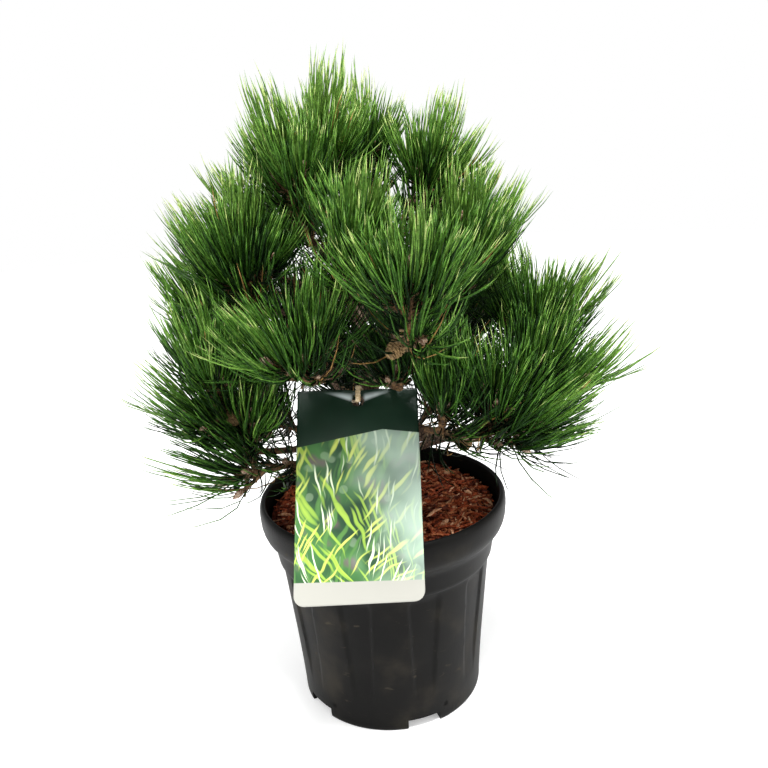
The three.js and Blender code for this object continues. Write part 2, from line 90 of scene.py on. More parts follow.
def mesh_of(heap, name):
    """The heap as a Blender mesh, in metres."""
    corners = np.concatenate(heap.corners) * MM
    order = np.concatenate([faces.ravel() for faces in heap.faces])
    sizes = np.concatenate([np.full(len(faces), faces.shape[1]) for faces in heap.faces])
    mesh = bpy.data.meshes.new(name)
    mesh.vertices.add(len(corners))
    mesh.vertices.foreach_set("co", corners.astype(np.float32).ravel())
    mesh.loops.add(len(order))
    mesh.loops.foreach_set("vertex_index", order.astype(np.int32))
    mesh.polygons.add(len(sizes))
    starts = np.concatenate([[0], np.cumsum(sizes)[:-1]])
    mesh.polygons.foreach_set("loop_start", starts.astype(np.int32))
    mesh.polygons.foreach_set("material_index", np.concatenate(heap.looks).astype(np.int32))
    mesh.update(calc_edges=True)
    return mesh


def placed(name, data):
    """An object of that name in the scene."""
    made = bpy.data.objects.new(name, data)
    bpy.context.scene.collection.objects.link(made)
    return made


def piece(name, shape, finishes, nodes=(), smooth=True):
    """A heap or a mesh as a piece of the object, on its body and in place of its CAD nodes."""
    mesh = mesh_of(shape, name) if isinstance(shape, Heap) else shape
    made = placed(name, mesh)
    for finish in finishes:
        mesh.materials.append(finish)
    if smooth:
        mesh.shade_smooth()
    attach(made, "root")
    if nodes:
        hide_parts(*nodes)
    print(f"{name}: {sum(len(p.vertices) - 2 for p in mesh.polygons)} triangles")
    return made


print("a millimetre of a heap becomes", MM, "m of a mesh")

# %% [markdown]
# ## Curves, directions and seeded chance
#
# The limbs are smooth curves. A curve here is a function from places along it, 0 to 1, to
# points. The same seeded stream of numbers as in the CAD source decides where each side shoot
# goes, so that the shoots grow where the CAD masses stand.

# %% Small vector tools
UP = np.array([0.0, 0.0, 1.0])
GOLDEN_TURN = math.radians(137.508)


def unit(v):
    v = np.asarray(v, float)
    return v / np.maximum(np.linalg.norm(v, axis=-1, keepdims=True), 1e-9)


def heading(bearing, rise):
    """Direction from a bearing about +Z and a rise above the level, in degrees."""
    bearing, rise = math.radians(bearing), math.radians(rise)
    level = math.cos(rise)
    return np.array([level * math.cos(bearing), level * math.sin(bearing), math.sin(rise)])


def bezier(*ends):
    """A curve of two, three or four guide points."""
    ends = np.array(ends, float)
    last = len(ends) - 1
    shares = [math.comb(last, k) for k in range(last + 1)]

    def curve(t):
        t = np.atleast_1d(np.asarray(t, float))
        weights = [c * (1 - t) ** (last - k) * t ** k for k, c in enumerate(shares)]
        return np.stack(weights, axis=1) @ ends

    return curve


def along(curve, t):
    """Direction of a curve at t."""
    t = np.atleast_1d(np.asarray(t, float))
    return unit(curve(t + 1e-4) - curve(t - 1e-4))


def spot_on(curve, t):
    """One place on a curve and its direction there."""
    return curve(t)[0], along(curve, t)[0]


def part_of(curve, start, end):
    return lambda t: curve(start + (end - start) * np.atleast_1d(np.asarray(t, float)))


def frames_along(path, across=(0.0, 1.0, 0.0)):
    """Side and face directions along a line of points, which turn with it and never twist."""
    ahead = unit(np.gradient(path, axis=0))
    sides = np.empty_like(path)
    side = np.asarray(across, float)
    for k, way in enumerate(ahead):
        side = unit(side - side @ way * way)
        sides[k] = side
    return sides, np.cross(sides, ahead)


def stream(seed):
    """The CAD source's repeatable stream of numbers from 0 to 1."""
    state = seed % 2 ** 32

    def following():
        nonlocal state
        state = (state * 1664525 + 1013904223) % 2 ** 32
        return state / 2 ** 32

    return following


def mottle(points, size, seed, waves=9):
    """Smooth unevenness from about -1 to 1, from a few waves that cross at random."""
    chance = np.random.default_rng(seed)
    ways = unit(chance.normal(size=(waves, 3))) * chance.uniform(0.6, 1.7, (waves, 1))
    turns = np.asarray(points) @ (ways * 2 * math.pi / size).T
    return np.sin(turns + chance.uniform(0, 2 * math.pi, waves)).sum(axis=1) / (0.55 * waves)


def smooth_step(low, high, x):
    t = np.clip((x - low) / (high - low), 0, 1)
    return t * t * (3 - 2 * t)


print("golden turn:", round(math.degrees(GOLDEN_TURN), 1), "degrees")


# %% Rings and tubes
def angles_of(sides):
    """The angles of the corners of a ring."""
    return np.arange(sides) * 2 * math.pi / sides


def spokes(path, angles):
    """Directions square to a line of points, one for each of the angles about it."""
    side, face = frames_along(path)
    return (np.cos(angles)[None, :, None] * side[:, None] +
            np.sin(angles)[None, :, None] * face[:, None])


def wrapped(rings, sides):
    """The quads between rings of corners that follow one another."""
    ring = np.arange(sides)
    after = np.roll(ring, -1)
    row = (np.arange(rings - 1) * sides)[:, None]
    quads = np.stack([row + ring, row + after, row + sides + after, row + sides + ring], axis=2)
    return quads.reshape(-1, 4)


def fan_faces(ring, hub):
    """Triangles from a ring of corners to one more."""
    return np.stack([ring, np.roll(ring, -1), np.full(len(ring), hub)], axis=1)


def closed(corners, rings, sides, ends):
    """Rings of corners closed with a point at either end: corners, quads and end fans."""
    hub = len(corners)
    start = np.arange(sides)
    fans = np.concatenate([fan_faces(start, hub)[:, [1, 0, 2]],
                           fan_faces(start + (rings - 1) * sides, hub + 1)])
    return np.vstack([corners, ends]), wrapped(rings, sides), fans


def tube(path, radii, sides):
    """Corners, quads and end fans of a tube; radii is one number a ring, or one a corner."""
    radii = np.asarray(radii, float)
    if radii.ndim == 1:
        radii = np.repeat(radii[:, None], sides, axis=1)
    corners = path[:, None] + spokes(path, angles_of(sides)) * radii[:, :, None]
    return closed(corners.reshape(-1, 3), len(path), sides, [path[0], path[-1]])


print("quads between 3 rings of 8 corners:", len(wrapped(3, 8)))

# %% [markdown]
# ## Writing finishes as expressions
#
# A finish is a small net of shader nodes. Written node by node it is long and hard to read, so
# one class stands for an output socket, and arithmetic on it adds the Math nodes. Colours go
# through Mix nodes, because a Math node would turn them grey.

# %% Sockets that can be added and multiplied
def operators(operation):
    """A Math node as an operator, and its reflected form, which makes 1 - mask work."""
    return (lambda self, other: self.calculate(operation, self, other),
            lambda self, other: self.calculate(operation, other, self))


class Tone:
    """One output of a finish's nodes; arithmetic on it adds Math nodes."""

    def __init__(self, finish, socket):
        self.finish, self.socket = finish, socket

    def calculate(self, operation, *values):
        return self.finish.node("ShaderNodeMath", {"operation": operation},
                                dict(enumerate(values)))

    __add__, __radd__ = operators("ADD")
    __sub__, __rsub__ = operators("SUBTRACT")
    __mul__, __rmul__ = operators("MULTIPLY")
    __truediv__, __rtruediv__ = operators("DIVIDE")
    __pow__, __rpow__ = operators("POWER")

    def larger(self, other):
        return self.calculate("MAXIMUM", self, other)

    def ramp(self, low, high):
        """0 below low, 1 above high, and smooth between them."""
        return self.finish.node("ShaderNodeMapRange", {"interpolation_type": "SMOOTHSTEP"},
                                {0: self, 1: low, 2: high, 3: 0.0, 4: 1.0})


class Finish:
    """A material with its node net, made around one Principled shader."""

    def __init__(self, name, **fixed):
        self.material = bpy.data.materials.new(name)
        self.material.use_nodes = True
        self.tree = self.material.node_tree
        self.shader = self.tree.nodes["Principled BSDF"]
        for socket, value in fixed.items():
            self.shader.inputs[socket.replace("_", " ")].default_value = value

    def node(self, kind, settings=None, values=None, out=0):
        """A node of that kind: its settings first, then the values or links of its sockets."""
        made = self.tree.nodes.new(kind)
        for setting, value in (settings or {}).items():
            setattr(made, setting, value)
        for socket, value in (values or {}).items():
            self.give(made.inputs[socket], value)
        return Tone(self, made.outputs[out])

    def give(self, target, value):
        if isinstance(value, Tone):
            self.tree.links.new(value.socket, target)
        elif target.type == "RGBA":
            target.default_value = (*value, 1.0)
        else:
            target.default_value = value

    def scaled(self, point, scale):
        return self.node("ShaderNodeVectorMath", {"operation": "MULTIPLY"}, {0: point, 1: scale})

    def place(self, scale=(1.0, 1.0, 1.0)):
        """The point on the object, in metres times scale."""
        return self.scaled(self.node("ShaderNodeTexCoord", out=3), scale)

    def parts(self, point):
        """The first two parts of a point."""
        return [self.node("ShaderNodeSeparateXYZ", None, {0: point}, out=k) for k in range(2)]

    def noise(self, point, scale, detail=2.0, distortion=0.0):
        return self.node("ShaderNodeTexNoise", None, {
            "Vector": point, "Scale": scale, "Detail": detail, "Distortion": distortion})

    def cells(self, point, scale, feature="F1", out=0):
        return self.node("ShaderNodeTexVoronoi", {"feature": feature},
                         {"Vector": point, "Scale": scale}, out)

    def mix(self, share, first, second):
        """A colour between two colours."""
        return self.node("ShaderNodeMix", {"data_type": "RGBA"},
                         {0: share, 6: first, 7: second}, out=2)

    def colour(self, tone):
        self.give(self.shader.inputs["Base Color"], tone)

    def rough(self, tone):
        self.give(self.shader.inputs["Roughness"], tone)

    def bump(self, height, distance):
        """Fine relief: distance is the depth in metres of a height of 1."""
        normal = self.node("ShaderNodeBump", None, {
            "Height": height, "Distance": distance, "Strength": 1.0})
        self.give(self.shader.inputs["Normal"], normal)


print("finishes can be written as expressions")

# %% [markdown]
# ## Camera
#
# The picture was taken from a little above, from about 0.7 m away, with the camera turned
# slightly about its own axis. The camera is built from those angles, and the frame is square.

# %% Set the camera
EYE = np.array([17.2, -694.1, 527.6])
CAMERA = {"pitch": 0.2962, "yaw": -0.0137, "roll": -0.0566, "focal": 774.0, "frame": 768.0,
          "sensor": 36.0}


def camera_axes():
    """The camera's right, up and forward directions."""
    pitch, yaw, roll = CAMERA["pitch"], CAMERA["yaw"], CAMERA["roll"]
    ahead = np.array([math.sin(yaw) * math.cos(pitch), math.cos(yaw) * math.cos(pitch),
                      -math.sin(pitch)])
    level = np.array([math.cos(yaw), -math.sin(yaw), 0.0])
    above = np.cross(level, ahead)
    right = level * math.cos(roll) + above * math.sin(roll)
    return right, np.cross(right, ahead), ahead


right, above, ahead = camera_axes()
camera_data = bpy.data.cameras.new("camera")
camera_data.sensor_width = CAMERA["sensor"]
camera_data.lens = CAMERA["sensor"] * CAMERA["focal"] / CAMERA["frame"]
camera = placed("camera", camera_data)
turn = Matrix([[right[k], above[k], -ahead[k]] for k in range(3)]).to_4x4()
camera.matrix_world = Matrix.Translation(Vector(EYE * MM)) @ turn
bpy.context.scene.camera = camera
print("lens:", round(camera_data.lens, 2), "mm")

# %% [markdown]
# ## Growth plan
#
# A young pine carries its needles in brushes at the ends of its shoots. Each mass of the crown
# hangs on one bough, and is a short stem with one or two leading shoots and their side shoots.
# The plan's numbers and rules are the CAD source's own, only the fine needles rise a little
# more than its stout ones. Small twigs are added after them, from the same shoots and within the
# same reach, because the real crown is fuller than the CAD one.

# %% Named sizes of the plant
SEED = 2873
TRUNK = {"foot": 12.5, "middle": 9.0, "top": 3.6, "middle_at": 0.4, "flare": 0.34,
         "flare_ends": 14, "lobes": 5}
BOUGH = {"base": 4.6, "tip": 2.9, "share": 0.6, "lift": 0.45, "start_pull": 0.36,
         "end_pull": 0.24, "stem_pull": 0.12, "leader": 14}
SHOOT = {"stem_end": 3.1, "base": 2.4, "waist": 1.9, "inside": 3.2, "inside_more": 1.7,
         "pull": 0.3, "turn_about": 24}
SIDE = {"open": 0.85, "from": 0.3, "range": 0.1, "share": 0.52, "more": 6, "sag": 0.08}
TWIG = {"open": 0.8, "up": 0.4, "turn_about": 0.4, "sag": 0.1}
# Needles per kind of shoot: their length beside those of a leading shoot
SCALE = {"stem": 0.8, "lead": 1.0, "side": 0.88, "twig": 0.84, "bough": 0.75}
# Twigs per kind of shoot: how many, between which places on it, and how long
TWIGS = {"stem": (2, (0.35, 0.9), 24), "lead": (2, (0.15, 0.5), 24),
         "side": (1, (0.35, 0.5), 16)}
# Each mass: where its bough leaves the trunk, the bearing, reach and height of its tip, and for
# each leading shoot its bearing, rise and length
MASSES = {
    "top_left": [428, -151, 61, 471, [-143, 75, 65]],
    "top_back": [446, 94, 65, 484, [86, 82, 62]],
    "top_right": [424, 29, 58, 474, [14, 72, 52]],
    "high_right": [376, -11, 77, 404, [-65, 77, 60], [12, 50, 58]],
    "high_front": [364, -76, 132, 398, [-88, 61, 56]],
    "high_middle": [394, -98, 84, 430, [-58, 66, 44]],
    "high_left": [382, -165, 112, 408, [-171, 58, 48], [-60, 77, 66]],
    "high_back_left": [394, 149, 110, 426, [172, 61, 58], [50, 56, 52]],
    "high_back": [364, 97, 100, 408, [92, 60, 60]],
    "high_back_right": [390, 52, 98, 412, [62, 52, 58], [4, 50, 66]],
    "inner_front": [320, -66, 54, 330, [-61, 64, 32], [-149, 38, 34]],
    "left": [354, -155, 147, 324, [-130, 76, 47]],
    "front_left": [336, -123, 103, 352, [-53, 66, 42], [-134, 31, 38]],
    "front_right": [276, -48, 86, 298, [-92, 74, 38]],
    "right_front": [262, -32, 118, 287, [-118, 69, 42], [-26, 15, 38]],
    "right": [334, 2, 149, 334, [-15, 52, 52], [118, 68, 54]],
    "back_left": [346, 164, 150, 352, [-178, 57, 51], [45, 62, 49]],
    "back_inner": [268, 122, 112, 326, [116, 44, 62], [70, 68, 50]],
    "back": [340, 80, 118, 332, [84, 38, 66]],
    "back_right": [352, 41, 113, 335, [40, 38, 65], [84, 62, 50]],
    "far_left": [252, -157, 130, 284, [-170, 36, 50], [-58, 52, 42]],
    "far_right": [250, -17, 137, 297, [-36, 70, 46], [-5, 28, 58]],
    "low_left": [232, -149, 110, 260, [-150, 0, 44]],
    "low_right": [232, 14, 120, 254, [4, 2, 52]],
    "low_back_left": [224, 152, 106, 262, [158, 14, 54]],
    "low_back": [236, 106, 107, 262, [100, 15, 54]],
    "low_back_right": [221, 54, 107, 266, [52, 13, 56]],
}
trunk_curve = bezier((-3, 4, 196.3), (-3, 4, 300), (-8, 9, 388), (-37, 5, 478))
print("masses:", len(MASSES) + 1)


# %% Grow the plan of boughs and stems
def trunk_at(height):
    """The point of the trunk's curve at a height, found by halving."""
    low, high = 0.0, 1.0
    for _ in range(24):
        t = (low + high) / 2
        if trunk_curve(t)[0, 2] < height:
            low = t
        else:
            high = t
    return trunk_curve(low)[0]


def plan_of(name, rise_from, tip, leads):
    """One mass: its bough, its stem and the direction in which it grows."""
    chance = stream(SEED + math.floor(17 * tip[0] + tip[1] + 0.5))
    way = unit(sum(heading(bearing, rise) for bearing, rise, _ in leads))
    plan = {"name": name, "leads": leads, "chance": chance, "way": way, "bough": None}
    if rise_from is None:
        top, onward = spot_on(trunk_curve, 1)
        plan["tip"] = top + onward * BOUGH["leader"]
        plan["stem"] = bezier(top, plan["tip"])
        return plan
    start = trunk_at(rise_from)
    out = tip - start
    span = np.linalg.norm(out)
    first = unit(unit(out * [1, 1, 0]) + UP * BOUGH["lift"])
    branch = bezier(start, start + first * span * BOUGH["start_pull"],
                    tip - way * span * BOUGH["end_pull"], tip)
    share = BOUGH["share"]
    cut, onward = spot_on(branch, share)
    plan["bough"] = part_of(branch, 0, share)
    pull = span * BOUGH["stem_pull"]
    plan["stem"] = bezier(cut, cut + onward * pull, tip - way * pull, tip)
    plan["tip"] = tip
    return plan


plans = []
for name, (rise_from, azimuth, reach, height, *leads) in MASSES.items():
    tip = heading(azimuth, 0) * reach + [0, 0, height]
    plans.append(plan_of(name, rise_from, tip, leads))
plans.append(plan_of("leader", None, trunk_curve(1)[0], [[-16, 79, 64]]))
print("boughs:", sum(plan["bough"] is not None for plan in plans))


# %% Grow the shoots
def shoot(curve, kind, length):
    """A bearer of needles; a stem or a bough is old wood."""
    return {"curve": curve, "kind": kind, "length": length, "old": kind in ("stem", "bough")}


def sagging(root, end, sag):
    """A curve from root to end whose middle hangs by sag."""
    return bezier(root, (root + end) / 2 - sag, end)


def side_of(aim, about):
    """A direction square to aim, turned about it."""
    across = unit(np.array([-aim[1], aim[0], 0.01]))
    over = unit(np.cross(aim, across))
    return across * math.cos(about) + over * math.sin(about)


def shoots_of(plan):
    """The stem, the leading shoots and their side shoots, as the CAD source grows them."""
    chance, way = plan["chance"], plan["way"]
    length = np.linalg.norm(np.diff(plan["stem"]([0, 1]), axis=0))
    grown = [shoot(plan["stem"], "stem", length)]
    for order, (bearing, rise, length) in enumerate(plan["leads"]):
        aim = heading(bearing, rise)
        inside = plan["tip"] - way * (SHOOT["inside"] + SHOOT["inside_more"] * order)
        bud = plan["tip"] + aim * length
        curve = bezier(inside, inside + unit(way + aim) * length * SHOOT["pull"], bud)
        grown.append(shoot(curve, "lead", length))
        sides = 1 if len(plan["leads"]) > 1 else 2
        turn = 360 * chance()
        for k in range(sides):
            about = turn + 360 * k / sides + SHOOT["turn_about"] * (chance() - 0.5)
            side_aim = unit(aim + SIDE["open"] * side_of(aim, math.radians(about)))
            root = curve(SIDE["from"] + SIDE["range"] * chance())[0]
            reach = SIDE["share"] * length + SIDE["more"]
            sag = aim * SIDE["sag"] * reach
            grown.append(shoot(sagging(root, root + side_aim * reach, sag), "side", reach))
    return grown


def twigs_of(plan, seed):
    """Finer shoots than the CAD's, on its own shoots and shorter than its side shoots."""
    chance = np.random.default_rng(seed)
    grown = []
    for parent in plan["shoots"]:
        count, places, size = TWIGS[parent["kind"]]
        start = chance.uniform(0, 2 * math.pi)
        for k in range(count):
            t = chance.uniform(*places)
            root, aim = spot_on(parent["curve"], t)
            about = chance.uniform(-TWIG["turn_about"], TWIG["turn_about"])
            off = side_of(aim, start + k * 2 * math.pi / count + about)
            twig_aim = unit(aim + TWIG["open"] * off + TWIG["up"] * UP)
            reach = size * chance.uniform(0.85, 1.2)
            sag = aim * TWIG["sag"] * reach
            grown.append(shoot(sagging(root, root + twig_aim * reach, sag), "twig", reach))
    return grown


for order, plan in enumerate(plans):
    plan["shoots"] = shoots_of(plan)
    plan["twigs"] = twigs_of(plan, SEED + order)
print("CAD shoots:", sum(len(plan["shoots"]) for plan in plans))
print("finer twigs:", sum(len(plan["twigs"]) for plan in plans))

# %% [markdown]
# ## Needle brushes
#
# This pine bears its needles in pairs, set in a spiral round the shoot. At the foot of a brush
# they stand well out, and near the bud they close up and point on, and all of them bend up
# towards the light. Each needle is a bent three-sided blade with a drawn-out tip. Curves with a
# bevel or a hair system would look alike, but arrays give the same on every run and export.

# %% Where needles may not go
CARD_AXES = np.array([[0.9955, 0.0808, -0.0499], [0.0236, 0.6146, 0.7885],
                      [0.0943, -0.7861, 0.6109]])
CARD = {"width": 107.3, "length": 186.0, "thick": 0.6, "upper_corner": 2.0, "corner": 9.0,
        "hole": 5.4, "hole_down": 10.5, "bow": 2.0}
CARD_TOP = np.array([-15.6, -31.8, 321.6])
POT = {"radius": 119.8, "inside": 109, "height": 208.7, "soil": 196.0}
# Clear spaces: round the card, behind it and in front of it, over the soil and round the pot
CLEAR = {"card": 1.5, "behind": 2.0, "front": 260, "soil": 2, "pot": 3}


def on_card(points):
    """Places as the card has them: across, down from its top edge, and out in front."""
    local = (points - CARD_TOP) @ CARD_AXES.T
    return local[..., 0], -local[..., 1], local[..., 2]


def behind_card(points):
    """True where the card, or the clear space in front of it, would be crossed."""
    across, down, out = on_card(points)
    eye_across, eye_down, eye_out = on_card(EYE)
    share = np.clip(out / (eye_out - out), 0, None)
    seen_across = across + (across - eye_across) * share
    seen_down = down + (down - eye_down) * share
    margin = CLEAR["card"]
    covered = ((np.abs(seen_across) < CARD["width"] / 2 + margin) & (seen_down > -margin) &
               (seen_down < CARD["length"] + margin))
    return covered & (out > -CLEAR["behind"]) & (out < CLEAR["front"])


def in_pot(points):
    """True inside the pot's wall, under its rim or in the soil."""
    level = np.hypot(points[..., 0], points[..., 1])
    height = points[..., 2]
    inside = (level < POT["inside"]) & (height > POT["soil"] + CLEAR["soil"])
    around = (level < POT["radius"] + CLEAR["pot"]) & (height < POT["height"] + CLEAR["pot"])
    return around & ~inside


def trunk_radius(t):
    foot, middle, top, at = (TRUNK[key] for key in ("foot", "middle", "top", "middle_at"))
    return np.minimum(foot + (middle - foot) * np.minimum(1, t / at),
                      middle + (top - middle) * np.maximum(0, (t - at) / (1 - at)))


def bough_radius(t):
    return BOUGH["base"] + (BOUGH["tip"] - BOUGH["base"]) * t


def beads_on(curve, radius, count):
    """Places along a limb, each with a radius."""
    t = np.linspace(0, 1, count)
    return np.column_stack([curve(t), radius(t)])


# The trunk's beads are a little wider than it, for the relief of its bark
beads = np.vstack([beads_on(trunk_curve, lambda t: trunk_radius(t) * 1.1, 50)] +
                  [beads_on(plan["bough"], bough_radius, 14) for plan in plans if plan["bough"]])


def in_limb(points):
    """True where a point lies inside the trunk or a bough."""
    flat = points.reshape(-1, 3)
    hit = np.zeros(len(flat), bool)
    for x, y, z, radius in beads:
        near = np.abs(flat[:, 2] - z) < radius
        hit[near] |= ((flat[near] - [x, y, z]) ** 2).sum(axis=1) < radius ** 2
    return hit.reshape(points.shape[:-1])


print("limb beads:", len(beads))


# %% Named sizes of the brushes
# Pairs of needles for a millimetre of each kind of shoot
PAIRS = {"lead": 1.75, "side": 1.15, "twig": 0.8, "stem": 0.7, "bough": 0.5}
BRUSH = {"least": 8, "always": 20, "more": 0.68, "bough_from": 0.5, "young": (0.2, 0.98),
         "on_old": BOUGH["tip"], "on_young": 1.6, "towards_bud": 0.7}
# Lengths and heights in millimetres, angles from the shoot in degrees
NEEDLE = {"low": 84.0, "high": 66.0, "high_from": 250, "high_over": 220, "thick": 1.5,
          "open": 92.0, "open_high": 70.0, "closed": 6.0, "closing": 1.5, "old": 84.0,
          "old_closes": 10, "about": 4.0, "early": 24, "widest": 104, "spread": 4.5,
          "guide": 0.4}
# How much the needles rise towards the light: most high in the crown and near the buds
RISE = {"most": 1.15, "low": 0.42, "more": 0.58, "from": 270, "over": 90, "old": 0.4,
        "young": 0.6, "off_shoot": 0.14}
# The share of needles at the heart of the crown and in low brushes, and the gaps in each brush
THIN = {"inner": 0.2, "inner_from": 0.35, "inner_to": 0.75, "low_old": 0.55, "low_young": 0.36,
        "low_from": 235, "low_to": 320, "gaps": 3, "gap_depth": 0.6}
# The share of its needles that a shaded mass keeps, and how much darker they are
SHADED = {"far_left": (0.62, 0.0), "low_left": (0.6, -0.2), "inner_front": (0.7, -0.7),
          "low_right": (0.7, -0.6), "right_front": (0.8, -0.2), "back_inner": (0.8, -0.4),
          "back": (0.85, -0.3), "left": (0.85, 0.1), "front_left": (0.85, -0.1),
          "far_right": (0.75, -0.4), "right": (0.9, -0.1), "high_front": (1.0, -0.5)}
HEART = np.array([-8.0, 0.0, 320.0])
CROWN = np.array([190.0, 180.0, 215.0])
BEYOND = 6
LOW = np.array(cad_box[0]) / MM - BEYOND
HIGH = np.array(cad_box[1]) / MM + BEYOND
print("needles stay between", LOW.round(), "and", HIGH.round())


# %% Grow the needles of one shoot
def needles_on(bearer, count, chance):
    """Roots, guide points and tips of the needles on one shoot, two from each place."""
    share = (np.arange(count) + chance.uniform(0.2, 0.8, count)) / count
    first, last = (0.0, 1.0) if bearer["old"] else BRUSH["young"]
    t = first + (last - first) * share ** BRUSH["towards_bud"]
    path, aim = bearer["curve"](t), along(bearer["curve"], t)
    side, face = frames_along(path, (0.3, 0.9, 0.2))
    turn = (np.arange(count) * GOLDEN_TURN + chance.normal(0, 0.25, count))[:, None]
    out = np.cos(turn) * side + np.sin(turn) * face
    out = unit(out - (out * aim).sum(axis=1, keepdims=True) * aim)
    root = path + out * BRUSH["on_old" if bearer["old"] else "on_young"]
    high = np.clip((root[:, 2:] - NEEDLE["high_from"]) / NEEDLE["high_over"], 0, 1)
    widest = NEEDLE["open"] + (NEEDLE["open_high"] - NEEDLE["open"]) * high[:, 0]
    open_up = NEEDLE["closed"] + (widest - NEEDLE["closed"]) * (1 - t) ** NEEDLE["closing"]
    if bearer["old"]:
        open_up = NEEDLE["old"] - NEEDLE["old_closes"] * t
    open_up = np.radians(open_up + chance.normal(0, NEEDLE["about"], count))[:, None]
    early = np.minimum(open_up + math.radians(NEEDLE["early"]), math.radians(NEEDLE["widest"]))
    length = NEEDLE["low"] + (NEEDLE["high"] - NEEDLE["low"]) * high
    length = length * chance.uniform(0.76, 1.08, (count, 1)) * SCALE[bearer["kind"]]
    across = unit(np.cross(aim, out))
    lift = RISE["low"] + RISE["more"] * np.clip((root[:, 2:] - RISE["from"]) / RISE["over"], 0, 1)
    lift = lift * (RISE["old"] + RISE["young"] * smooth_step(0.15, 0.55, t))[:, None]
    needles = []
    for sign in (-1, 1):
        spread = np.radians(NEEDLE["spread"] + chance.normal(0, 2.5, (count, 1))) * sign
        way = aim * np.cos(open_up) + out * np.sin(open_up) + across * spread
        way = unit(way + UP * RISE["most"] * lift * (1 - way[:, 2:]))
        outward = (way * out).sum(axis=1, keepdims=True)
        way = way + out * np.maximum(0, RISE["off_shoot"] - outward)
        way = unit(way + chance.normal(0, 0.035, (count, 3)))
        begin = aim * np.cos(early) + out * np.sin(early) + across * spread * 0.6
        reach = length * chance.uniform(0.95, 1.02, (count, 1))
        guide = root + unit(begin) * reach * NEEDLE["guide"]
        needles.append((root, guide, root + way * reach))
    gap = 0.5 + 0.5 * np.sin(THIN["gaps"] * turn[:, 0] + 5 * t + chance.uniform(0, 6.3))
    needles = tuple(np.concatenate(parts) for parts in zip(*needles))
    return needles, np.tile(t, 2), np.tile(gap, 2)


def spine_at(needles, s):
    """Places along the needles, from their roots, 0, to their tips, 1."""
    roots, guides, tips = needles
    return (1 - s) ** 2 * roots + 2 * s * (1 - s) * guides + s * s * tips


print("needle lengths:", NEEDLE["high"], "mm at the top,", NEEDLE["low"], "mm low down")


# %% Keep the needles that have room
def clear(needles):
    """True for the needles that cross nothing and stay within the crown's reach."""
    fine = np.ones(len(needles[0]), bool)
    for s in (0.3, 0.5, 0.65, 0.8, 0.9, 1.0):
        points = spine_at(needles, s)
        fine &= ~behind_card(points) & ~in_pot(points)
        fine &= ((points > LOW) & (points < HIGH)).all(axis=1)
        if s < 0.9:
            fine &= ~in_limb(points)
    return fine


def outwardness(points):
    """0 at the heart of the crown and about 1 at its outside."""
    return np.linalg.norm((points - HEART) / CROWN, axis=-1)


def thinned(needles, gap, old, chance):
    """Fewer needles where the crown shades itself, and in its low, hanging brushes."""
    roots, _, tips = needles
    heart = smooth_step(THIN["inner_from"], THIN["inner_to"], outwardness(tips))
    share = THIN["inner"] + (1 - THIN["inner"]) * heart
    middle = (roots[:, 2] + tips[:, 2]) / 2
    sparse = THIN["low_old" if old else "low_young"]
    low = sparse + (1 - sparse) * smooth_step(THIN["low_from"], THIN["low_to"], middle)
    return chance.random(len(roots)) < share * low * (1 - THIN["gap_depth"] * gap)


brushes = []
for order, plan in enumerate(plans):
    chance = np.random.default_rng(SEED + 100 + order)
    bearers = plan["shoots"] + plan["twigs"]
    if plan["bough"]:
        outer = part_of(plan["bough"], BRUSH["bough_from"], 1)
        length = np.linalg.norm(np.diff(outer([0, 1]), axis=0))
        bearers = [shoot(outer, "bough", length)] + bearers
    full, _ = SHADED.get(plan["name"], (1, 0))
    for bearer in bearers:
        rate = full * PAIRS[bearer["kind"]]
        room = BRUSH["always"] + BRUSH["more"] * bearer["length"]
        count = max(BRUSH["least"], int(rate * room))
        needles, t, gap = needles_on(bearer, count, chance)
        keep = clear(needles) & thinned(needles, gap, bearer["old"], chance)
        brushes.append({"plan": plan["name"], "bearer": bearer, "t": t[keep],
                        "needles": tuple(part[keep] for part in needles)})
print("needles:", sum(len(brush["needles"][0]) for brush in brushes))

# %% [markdown]
# ## Needle colours
#
# The needles at the light ends of the crown are fresh yellow-green, those inside are deep
# green, and a few old ones at the foot of the brushes have turned straw-coloured. These greens
# are partly the needles' own and partly painted light and shade: darker greens paint the shade
# inside the crown, low down, on old wood and at the foot of each needle, and lighter greens
# paint the light on the tips, near the buds and high in the crown. There are a few plain
# greens, each with a fine grain of its own, and every needle is dealt one by its brush.

# %% Mix the greens
# Plain greens from deep to light, then straw: the darker ones are dealt as painted shade and the
# lighter ones as painted light and fresh growth; straw is old needles
GREENS = {
    "needle_deep": (0.0018, 0.0075, 0.0013),
    "needle_dark": (0.0065, 0.024, 0.003),
    "needle_mid": (0.021, 0.066, 0.006),
    "needle_fresh": (0.042, 0.114, 0.010),
    "needle_light": (0.092, 0.190, 0.024),
    "needle_tip": (0.235, 0.300, 0.085),
    "needle_straw": (0.230, 0.130, 0.040),
}


def grained(name, dark, light, scale, edges, rough, relief=0.0, detail=3.0, distortion=0.0,
            stretch=(1.0, 1.0, 1.0), **fixed):
    """A finish between two colours: one fine grain makes its colour, roughness and relief."""
    finish = Finish(name, **fixed)
    grain = finish.noise(finish.place(stretch), scale, detail, distortion)
    finish.colour(finish.mix(grain.ramp(*edges), dark, light))
    finish.rough(rough[0] + grain * rough[1])
    if relief:
        finish.bump(grain, relief)
    return finish.material


def needle_finish(name, colour):
    """A waxy needle with fine streaks a little lighter and darker than its green. The wax of
    a needle in the open shines more than that of a shaded one."""
    darker = tuple(0.7 * c for c in colour)
    lighter = tuple(1.35 * c + 0.004 for c in colour)
    return grained(name, darker, lighter, 420.0, (0.32, 0.68), (0.36, 0.16), detail=1.0,
                   Specular_IOR_Level=0.04 + 0.7 * colour[1])


